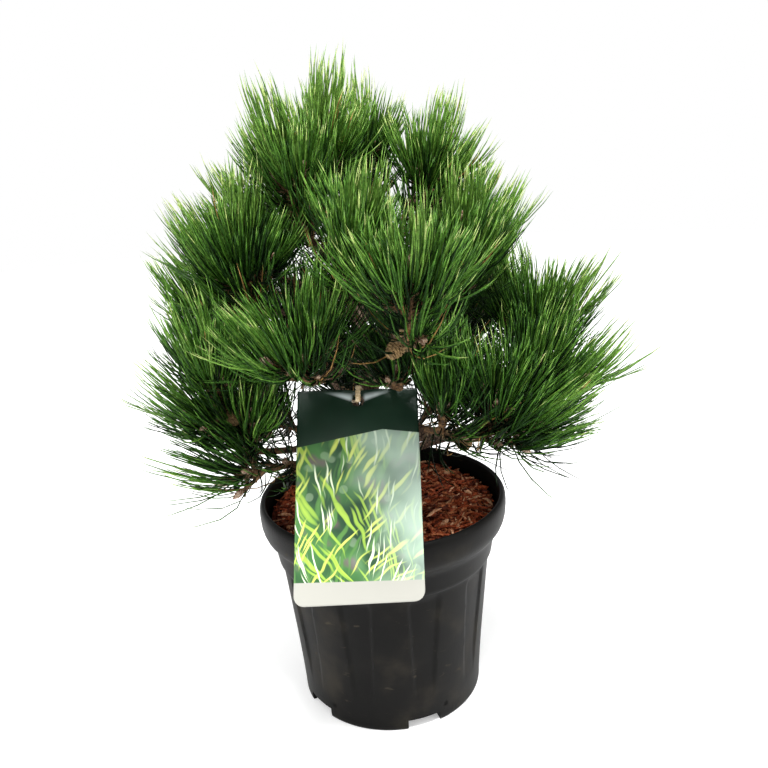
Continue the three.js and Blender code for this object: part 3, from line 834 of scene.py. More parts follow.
greens = [needle_finish(name, colour) for name, colour in GREENS.items()]
print("greens:", ", ".join(GREENS))


# %% Turn the needles into meshes
RINGS = [(0.0, 0.62), (0.3, 1.0), (0.58, 0.95), (0.84, 0.7)]
SECTION = np.array([[-0.5, -0.2], [0.5, -0.2], [0.0, 0.42]])
# How light a needle's green is, 0 to 4, as painted light and shade: lighter outside, high up,
# near the bud and on leading shoots, darker inside, low down, in shaded masses and on old wood
LIGHT = {"all": 1.1, "outward": 2.0, "outside": 0.75, "along": 3.2, "halfway": 0.6, "high": 0.9,
         "height": 330, "over": 230}
KIND_LIGHT = {"lead": 0.6, "side": 0.2, "twig": -0.2, "stem": -0.5, "bough": -0.8}
# The share of tips one green lighter as painted highlight, and the shares of old and young needles
# that have turned straw
BRIGHT_TIPS, STRAW_OLD, STRAW_YOUNG = 0.6, 0.06, 0.004
TIERS = {"crown_top": ["leader", "top_left", "top_back", "top_right"],
         "crown_high_front": ["high_right", "high_front", "high_middle", "high_left"],
         "crown_high_back": ["high_back_left", "high_back", "high_back_right"],
         "crown_front": ["inner_front", "left", "front_left", "front_right", "right_front",
                         "right"],
         "crown_back": ["back_left", "back_inner", "back", "back_right"],
         "crown_low_front": ["far_left", "far_right", "low_left", "low_right"],
         "crown_low_back": ["low_back_left", "low_back", "low_back_right"]}


def repeated(faces, count, corners_each):
    """The faces of one thing for count things that follow one another."""
    start = (np.arange(count) * corners_each)[:, None, None]
    return (start + faces).reshape(-1, faces.shape[1])


def needle_mesh(heap, needles, foot_looks, looks, tip_looks):
    """Three-sided bent blades: three bands of quads and a drawn-out point."""
    roots, guides, tips = needles
    across = unit(np.cross(tips - roots, guides - roots + 1e-6))
    rings = []
    for s, width in RINGS:
        ahead = unit(spine_at(needles, s + 0.01) - spine_at(needles, s - 0.01))
        lift = np.cross(across, ahead)
        for x, y in SECTION * NEEDLE["thick"] * width:
            rings.append(spine_at(needles, s) + across * x + lift * y)
    bands = repeated(wrapped(4, 3), len(roots), 13)
    points = repeated(fan_faces(np.arange(9, 12), 12), len(roots), 13)
    band_looks = np.stack([foot_looks, looks, looks], axis=1).repeat(3, axis=1).ravel()
    heap.add(np.stack([*rings, tips], axis=1), bands, points,
             looks=(band_looks, np.repeat(tip_looks, 3)))


def deal_colours(brush, chance):
    """Greens for the foot, the middle and the tip of each needle of one brush. The green is
    painted light and shade with some random change; the foot is one green darker as painted shade,
    and most tips are one lighter as painted highlight.
    """
    tips, bearer = brush["needles"][2], brush["bearer"]
    count = len(tips)
    light = LIGHT["all"] + LIGHT["outward"] * (outwardness(tips) - LIGHT["outside"])
    light = light + LIGHT["along"] * (brush["t"] - LIGHT["halfway"])
    height = (tips[:, 2] - LIGHT["height"]) / LIGHT["over"]
    light = light + LIGHT["high"] * np.clip(height, -0.7, 1)
    light = light + KIND_LIGHT[bearer["kind"]] + SHADED.get(brush["plan"], (1, 0))[1]
    light = light + chance.normal(0, 0.25) + chance.normal(0, 0.8, count)
    looks = np.clip(np.round(light), 0, 4).astype(int)
    tip_looks = np.where(chance.random(count) < BRIGHT_TIPS, np.minimum(looks + 1, 5), looks)
    foot_looks = np.maximum(looks - 1, 0)
    straw = chance.random(count) < (STRAW_OLD if bearer["old"] else STRAW_YOUNG)
    foot_looks[straw], looks[straw], tip_looks[straw] = 6, 6, 6
    return foot_looks, looks, tip_looks


chance = np.random.default_rng(SEED + 11)
for tier, members in TIERS.items():
    heap = Heap()
    for brush in brushes:
        if brush["plan"] in members:
            needle_mesh(heap, brush["needles"], *deal_colours(brush, chance))
    piece("needles_" + tier, heap, greens,
          ["mass_" + name for name in members])

# %% [markdown]
# ## Trunk and boughs
#
# The trunk is a tapering stem with a lobed foot, and the bark of a young pine is cracked into
# small rough plates. The plates are pushed out of a fine tube in the mesh itself, and the
# finish adds the grain that is too fine for it. Displacement in the shader would be lost in
# the export.

# %% Bark finish and relief
bark = Finish("bark", Specular_IOR_Level=0.25)
plates = bark.cells(bark.place((1.0, 1.0, 0.5)), 260.0, "DISTANCE_TO_EDGE")
grain = bark.noise(bark.place((1.0, 1.0, 0.35)), 700.0, detail=4.0)
patches = bark.noise(bark.place(), 60.0, detail=3.0)
tint = bark.mix(patches.ramp(0.35, 0.7), (0.085, 0.048, 0.028), (0.20, 0.145, 0.10))
tint = bark.mix(plates.ramp(0.02, 0.16), (0.028, 0.015, 0.010), tint)
bark.colour(bark.mix(grain.ramp(0.5, 0.8) * 0.4, tint, (0.33, 0.26, 0.20)))
bark.rough(0.82 + grain * 0.14)
bark.bump(plates.ramp(0.0, 0.3) * 0.6 + grain * 0.4, 0.0012)

PLATE = 5.0  # the size of a plate of bark
TRUNK_TUBE = {"sides": 48, "rings": 220, "depth": 0.7}
BOUGH_TUBE = {"sides": 16, "rings": 60, "depth": 0.42}


def bark_relief(points):
    """Rough plates, longer than wide."""
    plates = 1 - 2 * np.abs(mottle(points * [1.0, 1.0, 0.5], PLATE * 1.5, SEED + 1))
    return 0.6 * plates + 0.4 * mottle(points, PLATE * 0.6, SEED + 2)


def barked(heap, curve, radius, sides, rings, depth, lobes=None):
    """A tube along a curve, with the relief pushed out of its radius."""
    t = np.linspace(0, 1, rings)
    path, angles = curve(t), angles_of(sides)
    radii = np.repeat(radius(t)[:, None], sides, axis=1)
    if lobes is not None:
        radii = radii * lobes(t[:, None], angles[None, :])
    skin = path[:, None] + spokes(path, angles) * radii[:, :, None]
    relief = bark_relief(skin.reshape(-1, 3)).reshape(rings, sides)
    heap.add(*tube(path, radii + relief * depth, sides))


def flare(t, angle):
    """The lobed flare of the trunk's foot."""
    lobed = 0.6 + 0.4 * np.cos(TRUNK["lobes"] * angle)
    return 1 + TRUNK["flare"] * np.exp(-t * TRUNK["flare_ends"]) * lobed


trunk_heap, bough_heap = Heap(), Heap()
barked(trunk_heap, trunk_curve, trunk_radius, **TRUNK_TUBE, lobes=flare)
piece("trunk_bark", trunk_heap, [bark.material], ["trunk"])
limbed = [plan for plan in plans if plan["bough"]]
for plan in limbed:
    barked(bough_heap, part_of(plan["bough"], 0.02, 1.05), bough_radius, **BOUGH_TUBE)
piece("bough_bark", bough_heap, [bark.material],
      ["bough_" + plan["name"] for plan in limbed])

# %% [markdown]
# ## Twigs, sheaths and buds
#
# Under the needles each shoot is an orange-brown twig, rough with the scars of fallen leaves.
# Every pair of needles sits in a small brown sheath, and the shoot ends in a pointed, resinous
# bud whose scales overlap. The scars and scales are ridges in the mesh: a spiral wave round the
# twig is enough, because little of it shows between the needles.

# %% Twig, sheath and bud finishes
twig_bark = grained("twig_bark", (0.040, 0.021, 0.010), (0.16, 0.085, 0.034), 380.0,
                    (0.35, 0.65), (0.66, 0.2), 0.0006, Specular_IOR_Level=0.3)
sheath = grained("sheath", (0.060, 0.036, 0.014), (0.20, 0.130, 0.055), 500.0,
                 (0.3, 0.7), (0.6, 0.2), detail=2.0)
bud_scale = Finish("bud_scale", Coat_Weight=0.15, Coat_Roughness=0.3)
resin = bud_scale.noise(bud_scale.place(), 300.0, detail=3.0)
edges = bud_scale.cells(bud_scale.place((1.0, 1.0, 0.6)), 420.0, "DISTANCE_TO_EDGE")
shade = bud_scale.mix(resin.ramp(0.4, 0.7), (0.12, 0.048, 0.021), (0.32, 0.20, 0.12))
bud_scale.colour(bud_scale.mix(edges.ramp(0.0, 0.1), (0.42, 0.33, 0.24), shade))
bud_scale.rough(0.4 + resin * 0.3)
bud_scale.bump(edges.ramp(0.0, 0.25), 0.0005)
print("finishes: twig_bark, sheath, bud_scale")


# %% Build twigs and buds
SLIM = {"lead": 1.0, "side": 0.85, "twig": 0.7}
SIDES = 8
SCARS = {"every": 3, "turns": 0.9, "depth": 0.16}
BUD = {"length": 13.0, "radius": 3.1, "inside": 1.5, "small_length": 8.0, "small_radius": 1.9,
       "small_inside": 2.5, "small_off": 1.2, "small_open": 0.55, "turns": 9.0, "depth": 0.14}
SHEATH = ((-1.0, 0.8), (6.0, 1.05))


def scaly(t, turns, depth):
    """Factors for the radii of a tube that raise a spiral of small overlapping bumps."""
    return 1 + depth * np.abs(np.sin(2 * angles_of(SIDES)[None, :] + t[:, None] * turns))


def add_twig(heap, bearer):
    t = np.linspace(0, 1, max(8, int(bearer["length"] / SCARS["every"])))
    if bearer["old"]:
        radii = BOUGH["tip"] + (SHOOT["stem_end"] - BOUGH["tip"]) * t
    else:
        radii = (SHOOT["base"] + (SHOOT["waist"] - SHOOT["base"]) * t) * SLIM[bearer["kind"]]
    scars = scaly(t, bearer["length"] * SCARS["turns"], SCARS["depth"])
    heap.add(*tube(bearer["curve"](t), radii[:, None] * scars, SIDES))


def add_bud(heap, bearer, chance):
    """A pointed bud on the shoot's end, with one to three small ones round its foot."""
    end, aim = spot_on(bearer["curve"], 1)
    big = SLIM[bearer["kind"]]
    buds = [(end - aim * BUD["inside"], aim, BUD["length"] * big, BUD["radius"] * big)]
    for _ in range(int(chance.integers(1, 4))):
        off = side_of(aim, chance.uniform(0, 2 * math.pi))
        buds.append((end - aim * BUD["small_inside"] + off * BUD["small_off"],
                     unit(aim + BUD["small_open"] * off), BUD["small_length"] * big,
                     BUD["small_radius"] * big))
    s = np.linspace(0, 1, 9)
    shape = np.sqrt(np.clip(np.sin(math.pi * np.minimum(s * 0.62 + 0.2, 1)), 0, 1))
    shape = shape * (1 - s ** 3.2) + 0.04
    for root, way, length, radius in buds:
        radii = radius * shape[:, None] * scaly(s, BUD["turns"], BUD["depth"])
        heap.add(*tube(root + np.outer(s, way) * length, radii, SIDES), looks=(1, 1))


def add_sheaths(heap, brush):
    """A short brown sleeve round the foot of every second needle, which is one a pair."""
    roots, guides = (part[::2] for part in brush["needles"][:2])
    if not len(roots):
        return
    way = unit(guides - roots)
    across = unit(np.cross(way, UP + 0.01))
    over = np.cross(way, across)
    rings = [roots + way * place + (across * math.cos(angle) + over * math.sin(angle)) * size
             for place, size in SHEATH for angle in angles_of(3)]
    heap.add(np.stack(rings, axis=1), repeated(wrapped(2, 3), len(roots), 6))


twig_heap, chance = Heap(), np.random.default_rng(SEED + 21)
for plan in plans:
    for bearer in plan["shoots"] + plan["twigs"]:
        add_twig(twig_heap, bearer)
        if not bearer["old"]:
            add_bud(twig_heap, bearer, chance)
piece("twigs_and_buds", twig_heap, [twig_bark, bud_scale.material])
sheath_heap = Heap()
for brush in brushes:
    add_sheaths(sheath_heap, brush)
piece("needle_sheaths", sheath_heap, [sheath])

# %% [markdown]
# ## Cones
#
# A few small cones of last year sit close against the old wood at the foot of a brush. A cone
# is seventy scales set by the golden turn on an egg-shaped core, each a thick lip that points up
# and out. Each cone looks away from the middle of the crown.

# %% Build the cones
CONE = {"length": 17.0, "radius": 6.8, "core": 0.8, "scales": 70, "reach": 0.94, "sunk": 0.55,
        "lip": 3.6, "wide": 0.62, "closing": 0.45, "thick": 1.3, "off": 1.5, "along": 0.35}
# The mass that bears each cone, the place on its stem, and where the cone looks
CONES = [("top_left", 0.75, (-0.5, -1.0, -0.2)), ("high_front", 0.3, (0.2, -1.0, 0.1)),
         ("left", 0.6, (-0.6, -1.0, -0.2)), ("right_front", 0.3, (-0.4, -1.0, 0.0)),
         ("back", 0.5, (0.2, 1.0, 0.0)), ("high_back_right", 0.5, (0.8, 0.6, 0.0))]
# A scale's outline: across in widths, then out and up in lips
SCALE_SHAPE = [(-0.4, 0, 0), (0.4, 0, 0), (1, 0.9, 0.45), (0, 1.25, 0.75), (-1, 0.9, 0.45)]
SCALE_QUADS = [[0, 1, 2, 4], [5, 9, 7, 6]]
SCALE_TRIANGLES = [[2, 3, 4], [9, 8, 7], [6, 7, 2], [6, 2, 1], [7, 8, 3], [7, 3, 2], [8, 9, 4],
                   [8, 4, 3], [9, 5, 0], [9, 0, 4], [5, 6, 1], [5, 1, 0]]
cone_scale = grained("cone_scale", (0.080, 0.050, 0.022), (0.340, 0.225, 0.100), 420.0,
                     (0.3, 0.7), (0.68, 0.2), 0.0005, Specular_IOR_Level=0.25)


def egg(s):
    """The radius of an egg shape from its foot, 0, to its tip, 1."""
    return np.sin(math.pi * (0.08 + 0.9 * s)) ** 0.7


def add_cone(heap, root, way):
    """An egg-shaped core with scales whose lips stand out of it."""
    s = np.linspace(0, 1, 12)
    core = root + np.outer(s, way) * CONE["length"]
    heap.add(*tube(core, CONE["radius"] * CONE["core"] * egg(s), 12))
    side = side_of(way, 0.0)
    face = np.cross(way, side)
    for k in range(CONE["scales"]):
        up = (k + 0.5) / CONE["scales"]
        out = side * math.cos(k * GOLDEN_TURN) + face * math.sin(k * GOLDEN_TURN)
        across = np.cross(way, out) * (CONE["wide"] * CONE["lip"])
        foot = root + way * CONE["length"] * (CONE["reach"] * up)
        foot = foot + out * (CONE["radius"] * egg(up)) * CONE["sunk"]
        lip = CONE["lip"] * (1 - CONE["closing"] * up)
        upper = np.array([foot + across * x + out * lip * y + way * lip * z
                          for x, y, z in SCALE_SHAPE])
        heap.add(np.vstack([upper, upper - way * CONE["thick"]]), SCALE_QUADS, SCALE_TRIANGLES)


cone_heap = Heap()
for name, t, looks_to in CONES:
    plan = next(plan for plan in plans if plan["name"] == name)
    place, aim = spot_on(plan["stem"], t)
    off = unit(looks_to - aim * (aim @ looks_to))
    add_cone(cone_heap, place + off * CONE["off"], unit(off + CONE["along"] * aim))
piece("cones", cone_heap, [cone_scale], smooth=False)

# %% [markdown]
# ## Pot
#
# The pot is blown or injected black plastic: a wall that widens upwards, a stepped collar, a
# rounded lip, ten shallow flutes and a foot cut into five. A turned profile gives everything
# that runs round it. The flutes are pressed into the wall by moving its corners, so that their
# edges stay soft, and only the notches of the foot and the drain holes are cut.

# %% Turn the pot
OUTSIDE = [(0, 0), (60, 0), (87.4, 0), (89.2, 0.5), (90.1, 1.8), (90.3, 4), (90.6, 12),
           (91.2, 22), (92.0, 34), (93.2, 50), (95.0, 71), (96.6, 88), (98.2, 105),
           (100.2, 126), (101.6, 139), (102.5, 146), (103.2, 148.2), (104.6, 149.6),
           (105.5, 151), (106.3, 156), (107.6, 163), (108.9, 169.6), (109.9, 172.4),
           (111.6, 174.8), (114, 177.4), (116.4, 180.6), (118.0, 184.6), (119.0, 189),
           (119.5, 195), (119.6, 200), (119.3, 203.6), (118.6, 206.2), (117.4, 208),
           (116.2, 208.7)]
INSIDE = [(115.2, 208.6), (114.2, 208), (113.6, 206.8), (113.2, 204), (112.4, 198), (111.2, 186),
          (109.4, 177), (106.6, 171), (103.4, 154), (99.8, 145), (95.6, 103), (90.6, 50),
          (87.8, 2.6), (50, 2.6), (0, 2.6)]
FLUTE = {"count": 10, "first": 19.5, "depth": 1.9, "top": 145.5, "bottom": 24.0, "half": 8.6,
         "half_low": 5.6, "soft": (-0.9, 0.7), "corner": 7, "rounding": 3.4, "fades_in": 46}
WALL_MIDDLE, WALL_SLOPE = 88.3, 0.085
NOTCH = {"count": 5, "first": 19.5, "width": 33.0, "height": 10.3, "inner": 30.0,
         "roof": 2.6, "roof_end": 86, "outer": 100}
DRAIN = {"after_notch": 57.5, "height": 17, "radius": 2.6, "inner": 82, "outer": 98}
POT_SIDES, LONGEST_OUTSIDE, LONGEST_INSIDE = 360, 5.0, 20.0


def refined(profile, longest):
    """The profile with its long straight runs divided."""
    points = [profile[0]]
    for (r0, z0), (r1, z1) in zip(profile, profile[1:]):
        steps = max(1, math.ceil(math.hypot(r1 - r0, z1 - z0) / longest))
        points += [(r0 + (r1 - r0) * k / steps, z0 + (z1 - z0) * k / steps)
                   for k in range(1, steps + 1)]
    return np.array(points, float)


def turned(heap, profile, sides, press=None):
    """A closed turned solid; press(angle, r, z) moves its wall in."""
    r, z = (np.repeat(profile[1:-1, k:k + 1], sides, axis=1) for k in range(2))
    angles = angles_of(sides)
    if press is not None:
        r = r - press(angles[None, :], r, z)
    corners = np.stack([r * np.cos(angles), r * np.sin(angles), z], axis=2).reshape(-1, 3)
    heap.add(*closed(corners, len(r), sides, [UP * profile[0][1], UP * profile[-1][1]]))


def flute_press(angles, r, z):
    """How far the flutes press the outer wall in."""
    bottom, top, low = FLUTE["bottom"], FLUTE["top"], FLUTE["half_low"]
    step = 360 / FLUTE["count"]
    off = (np.degrees(angles) + 90 - FLUTE["first"] + step / 2) % step - step / 2
    half = low + (FLUTE["half"] - low) * np.clip((z - bottom) / (top - bottom), 0, 1)
    corner = np.clip((z - (top - FLUTE["corner"])) / FLUTE["corner"], 0, 1)
    half = half - FLUTE["rounding"] * corner ** 2.5
    sideways = 1 - smooth_step(*FLUTE["soft"], np.abs(off) - half)
    upright = smooth_step(bottom, bottom + FLUTE["fades_in"], z)
    upright = upright * (1 - smooth_step(top - 1.6, top + 0.4, z))
    outer = r > WALL_MIDDLE + WALL_SLOPE * z
    return FLUTE["depth"] * sideways * upright * outer


pot_heap = Heap()
outline = np.vstack([refined(OUTSIDE, LONGEST_OUTSIDE), refined(INSIDE, LONGEST_INSIDE)])
turned(pot_heap, outline, POT_SIDES, flute_press)
shell = placed("pot_shell", mesh_of(pot_heap, "pot_shell"))
print("pot corners before cutting:", len(shell.data.vertices))


# %% Cut the foot and the drain holes
def block(name, low, high, bearing):
    """A box from its lowest to its highest corner, turned to a bearing from the front."""
    heap = Heap()
    corners = [[x, y, z] for x in (low[0], high[0]) for y in (low[1], high[1])
               for z in (low[2], high[2])]
    heap.add(corners, [[0, 1, 3, 2], [4, 6, 7, 5], [0, 4, 5, 1], [2, 3, 7, 6], [0, 2, 6, 4],
                       [1, 5, 7, 3]])
    mesh = mesh_of(heap, name)
    mesh.transform(Matrix.Rotation(math.radians(bearing - 90), 4, "Z"))
    return placed(name, mesh)


def drain_tool(bearing):
    """A rod through the wall where a drain hole is."""
    heap = Heap()
    out = heading(bearing - DRAIN["after_notch"] - 90, 0)
    ends = np.array([out * DRAIN["inner"], out * DRAIN["outer"]]) + UP * DRAIN["height"]
    heap.add(*tube(ends, DRAIN["radius"] * np.ones(2), 24))
    return placed("hole", mesh_of(heap, "hole"))


def cut(target, tool, operation):
    """One Boolean, applied, and its tool removed."""
    step = target.modifiers.new("cut", "BOOLEAN")
    step.object, step.operation, step.solver = tool, operation, "MANIFOLD"
    view = bpy.context.evaluated_depsgraph_get()
    shaped = bpy.data.meshes.new_from_object(target.evaluated_get(view))
    target.modifiers.clear()
    old, target.data = target.data, shaped
    bpy.data.meshes.remove(old)
    bpy.data.objects.remove(tool)


bearings = [NOTCH["first"] + 360 * k / NOTCH["count"] for k in range(NOTCH["count"])]
half, height, roof = NOTCH["width"] / 2, NOTCH["height"], NOTCH["roof"]
for bearing in bearings:
    cut(shell, block("roof", (NOTCH["inner"] - roof, -half - roof, 1),
                     (NOTCH["roof_end"], half + roof, height + roof), bearing), "UNION")
for bearing in bearings:
    cut(shell, block("notch", (NOTCH["inner"], -half, -1), (NOTCH["outer"], half, height),
                     bearing), "DIFFERENCE")
    cut(shell, drain_tool(bearing), "DIFFERENCE")
pot_mesh = shell.data
pot_mesh.materials.clear()
bpy.data.objects.remove(shell)
print("pot corners after cutting:", len(pot_mesh.vertices))

# %% [markdown]
# ## Black plastic
#
# Nursery pots are moulded from recycled black plastic. It is satin, not glossy: it shows fine
# upright drawing lines, a slight orange-peel, a few pale scuffs and clouds of dust. All of that
# is small noise in the colour, the roughness and the bump.

# %% Pot finish
pot_plastic = Finish("pot_plastic", Specular_IOR_Level=0.07)
peel = pot_plastic.noise(pot_plastic.place(), 900.0, detail=2.0)
lines = pot_plastic.noise(pot_plastic.place((1.0, 1.0, 0.06)), 620.0, detail=2.0)
clouds = pot_plastic.noise(pot_plastic.place(), 22.0, detail=4.0)
scuffs = pot_plastic.noise(pot_plastic.place((0.35, 0.35, 1.0)), 190.0, detail=3.0,
                           distortion=0.6).ramp(0.66, 0.78)
black = pot_plastic.mix(clouds.ramp(0.35, 0.7), (0.0022, 0.0021, 0.0018),
                        (0.0044, 0.0040, 0.0032))
dusty = scuffs * 0.26 + clouds.ramp(0.5, 0.8) * 0.14
pot_plastic.colour(pot_plastic.mix(dusty, black, (0.090, 0.074, 0.050)))
pot_plastic.rough(0.38 + clouds * 0.12 + scuffs * 0.15 + peel * 0.05)
pot_plastic.bump(peel * 0.5 + lines * 0.5, 0.00012)
piece("pot_shell", pot_mesh, [pot_plastic.material], ["pot"])
pot_mesh.set_sharp_from_angle(angle=math.radians(38))  # the edges of the cuts stay sharp

# %% [markdown]
# ## Bark mulch
#
# The pot is topped with shredded bark: red-brown flakes and strips, lying every way, a
# centimetre or so below the rim. A bumpy bed fills the pot and hides what is below, and about
# two thousand separate flakes lie on it. Each flake is a thin strip that is bent, tapered and
# torn a little, because a box would look like a box even at this size.

# %% Mulch finishes
MULCH = {"mulch_dark": ((0.050, 0.009, 0.003), (0.140, 0.028, 0.011)),
         "mulch_red": ((0.150, 0.025, 0.008), (0.370, 0.078, 0.026)),
         "mulch_brown": ((0.190, 0.050, 0.019), (0.470, 0.155, 0.062)),
         "mulch_pale": ((0.420, 0.180, 0.090), (0.690, 0.390, 0.230))}
mulch = [grained(name, *colours, 520.0, (0.34, 0.66), (0.7, 0.25), 0.0009, 4.0, 0.4,
                 (1.0, 0.5, 1.0), Specular_IOR_Level=0.15) for name, colours in MULCH.items()]
print("mulch colours:", ", ".join(MULCH))

# %% Fill the pot
BED = [(0, 13.6), (60, 13.6), (87.2, 13.6), (89.8, 50), (94.8, 103), (99.0, 145), (102.4, 154),
       (105.6, 171), (108.6, 179), (109.4, 189), (108.6, 191)]
BED_TOP, BED_EDGE, BED_STEP, BED_SIDES, BED_LONGEST = 191.4, 108, 2.6, 128, 14.0
FLAKES = {"count": 2300, "strips": 0.3, "level": 192.4, "heap": 3.4, "widest": 104,
          "foot": 16, "shares": [0.26, 0.40, 0.22, 0.12]}
# The lengths and the widths, from and to, of long strips and of short chips
STRIP, CHIP = ((14, 30), (1.4, 3.2)), ((5, 15), (2.5, 6.5))
FLAKE_SECTION = ((-0.5, -0.5), (0.5, -0.5), (0.42, 0.5), (-0.42, 0.5))
FLAKE_FACES = np.vstack([wrapped(5, 4), [[3, 2, 1, 0], [16, 17, 18, 19]]])


def add_flake(heap, at, length, width, chance):
    """A bent and tapered strip of bark in four short stretches, lying almost flat."""
    thick = chance.uniform(0.7, 1.6)
    turn = chance.uniform(0, 2 * math.pi)
    tilt, roll = chance.normal(0, 0.2), chance.normal(0, 0.35)
    look = chance.choice(4, p=FLAKES["shares"])
    s = np.linspace(-0.5, 0.5, 5)
    bend = 1 - 4 * s * s
    bow = chance.uniform(-0.12, 0.16) * length
    sway = chance.uniform(-0.12, 0.12) * length
    wide = width * (1 - 0.75 * np.abs(2 * s) ** 2.2) * chance.uniform(0.75, 1.2, 5)
    rings = [np.stack([s * length, sway * bend + x * wide, bow * bend + z * thick], axis=1)
             for x, z in FLAKE_SECTION]
    turning = (Matrix.Rotation(turn, 3, "Z") @ Matrix.Rotation(tilt, 3, "Y") @
               Matrix.Rotation(roll, 3, "X"))
    corners = np.stack(rings, axis=1).reshape(-1, 3) @ np.array(turning).T + at
    heap.add(corners, FLAKE_FACES, looks=(look,))


bed_heap = Heap()
steps_in = range(1, int(BED_EDGE / BED_STEP))
bed_profile = np.vstack([refined(BED, BED_LONGEST),
                         [(BED_EDGE - k * BED_STEP, BED_TOP) for k in steps_in], [(0, BED_TOP)]])
turned(bed_heap, bed_profile, BED_SIDES)
bed = bed_heap.corners[0]
top = bed[:, 2] > BED_TOP - 0.2
bed[top, 2] += 1.6 * mottle(bed[top], 16.0, SEED + 3) + 0.9 * mottle(bed[top], 5.0, SEED + 4)
chance = np.random.default_rng(SEED + 31)
for _ in range(FLAKES["count"]):
    lengths, widths = STRIP if chance.random() < FLAKES["strips"] else CHIP
    length, width = chance.uniform(*lengths), chance.uniform(*widths)
    level = min(FLAKES["widest"] * math.sqrt(chance.random()), BED_EDGE - length * 0.42)
    around = chance.uniform(0, 2 * math.pi)
    x, y = level * math.cos(around), level * math.sin(around)
    # No flake lies in the trunk, whose foot stands at (-3, 4)
    if np.hypot(x + 3, y - 4) >= FLAKES["foot"]:
        at = np.array([x, y, FLAKES["level"] + FLAKES["heap"] * chance.random() ** 1.5])
        add_flake(bed_heap, at, length, width, chance)
piece("bark_mulch", bed_heap, mulch, ["soil"], smooth=False)

# %% [markdown]
# ## Hanging label
#
# The label is a thin glossy card with rounded lower corners. The band pulls at its hole, so the
# card is dented round it, and it leans back on the pot's lip. It is a fine grid, so that it can
# bend: its corners are drawn in to the rounded outline and the hole is left out. Then it is
# given its thickness. The print is a finish: a dark green head with a slanting edge, a
# picture of blurred grass and leaves, and a bare pale foot. It carries no words. The finish also
# holds painted light: two pale glints on the head that run out from the hole are a painted
# highlight, and a pale wash over one side of the picture is painted glare.

# %% Build the card
ACROSS, DOWN = 72, 124
# The dent at the hole, and the swelling on either side of it
DENT = {"depth": 2.6, "wide": 10.5, "ends": 17}
SWELL = {"height": 0.5, "beside": 20, "wide": 8, "ends": 30}


def card_point(across, down, out):
    """A point in space from a place on the card."""
    local = np.stack(np.broadcast_arrays(across, -down, out), axis=-1)
    return CARD_TOP + local @ CARD_AXES


def rounded(x, y, side, edge, radius):
    """The card's places with one corner drawn in: side is -1 or 1, and edge is 0 or 1."""
    inward = 1 if edge == 0 else -1
    centre_x = side * (CARD["width"] / 2 - radius)
    centre_y = edge * CARD["length"] + inward * radius
    beyond_x = np.maximum(0, (x - centre_x) * side)
    beyond_y = np.maximum(0, (centre_y - y) * inward)
    distance = np.hypot(beyond_x, beyond_y)
    outside = (beyond_x > 0) & (beyond_y > 0) & (distance > radius)
    shrink = radius / np.maximum(distance, 1e-6)
    return (np.where(outside, centre_x + side * beyond_x * shrink, x),
            np.where(outside, centre_y - inward * beyond_y * shrink, y))


grid_x, grid_y = np.meshgrid(np.linspace(0, 1, ACROSS + 1), np.linspace(0, 1, DOWN + 1))
x = (grid_x.ravel() - 0.5) * CARD["width"]
y = grid_y.ravel() * CARD["length"]
for edge, radius in ((0, CARD["upper_corner"]), (1, CARD["corner"])):
    for side in (-1, 1):
        x, y = rounded(x, y, side, edge, radius)
from_hole = np.hypot(x, y - CARD["hole_down"])
in_hole = from_hole < CARD["hole"] - 0.9
at_edge = (from_hole < CARD["hole"] + 0.7) & ~in_hole
push = np.where(at_edge, CARD["hole"] / np.maximum(from_hole, 1e-6), 1)
x, y = x * push, CARD["hole_down"] + (y - CARD["hole_down"]) * push
dent = -DENT["depth"] * np.exp(-(x / DENT["wide"]) ** 2) * (1 - smooth_step(1, DENT["ends"], y))
swell = SWELL["height"] * np.exp(-((np.abs(x) - SWELL["beside"]) / SWELL["wide"]) ** 2)
dent = dent + swell * (1 - smooth_step(2, SWELL["ends"], y))
bow = CARD["bow"] * (2 * x / CARD["width"]) ** 2 * (y / CARD["length"] - 0.5)
card_corners = card_point(x, y, dent + bow)
kept = []
for row in range(DOWN):
    for column in range(ACROSS):
        a = row * (ACROSS + 1) + column
        loop = [a, a + ACROSS + 1, a + ACROSS + 2, a + 1]
        if not in_hole[loop].any():
            kept.append(loop)
card_heap = Heap()
card_heap.add(card_corners, kept)
card_mesh = mesh_of(card_heap, "label_card")
layer = card_mesh.uv_layers.new(name="card")
order = np.empty(len(card_mesh.loops), np.int32)
card_mesh.loops.foreach_get("vertex_index", order)
places = np.stack([x / CARD["width"] + 0.5, 1 - y / CARD["length"]], axis=1)[order]
layer.data.foreach_set("uv", places.astype(np.float32).ravel())
print("card corners:", len(card_corners))

# %% Print, painted glints and painted glare on the card
TALL = 1.733  # the card's length beside its width
SOFT = 0.0015  # how soft the edges of the head and the foot are
# Layers of blades from back to front: the centre they spread from, how many across and along,
# their width, and their dark and light colours
BLADES = [((0.15, -0.50), (24.0, 1.6), 0.40, (0.012, 0.062, 0.020), (0.080, 0.210, 0.045)),
          ((1.05, -0.30), (30.0, 2.1), 0.36, (0.060, 0.200, 0.032), (0.320, 0.480, 0.060)),
          ((-0.25, -0.35), (36.0, 2.5), 0.33, (0.180, 0.360, 0.060), (0.560, 0.620, 0.120)),
          ((0.60, -0.90), (60.0, 2.2), 0.28, (0.380, 0.520, 0.280), (0.740, 0.820, 0.600))]
card_print_and_glare = Finish("label_print_and_glare", Roughness=0.28, Specular_IOR_Level=0.28, Coat_Weight=0.12,
                    Coat_Roughness=0.15)
place = card_print_and_glare.node("ShaderNodeUVMap", {"uv_map": "card"})
across, up = card_print_and_glare.parts(place)
down = 1.0 - up
square = card_print_and_glare.scaled(place, (1.0, TALL, 1.0))
edge = (0.282 - across * 0.1114).larger(0.1527 + across * 0.0733)
head = 1.0 - (down - edge).ramp(-SOFT, SOFT)
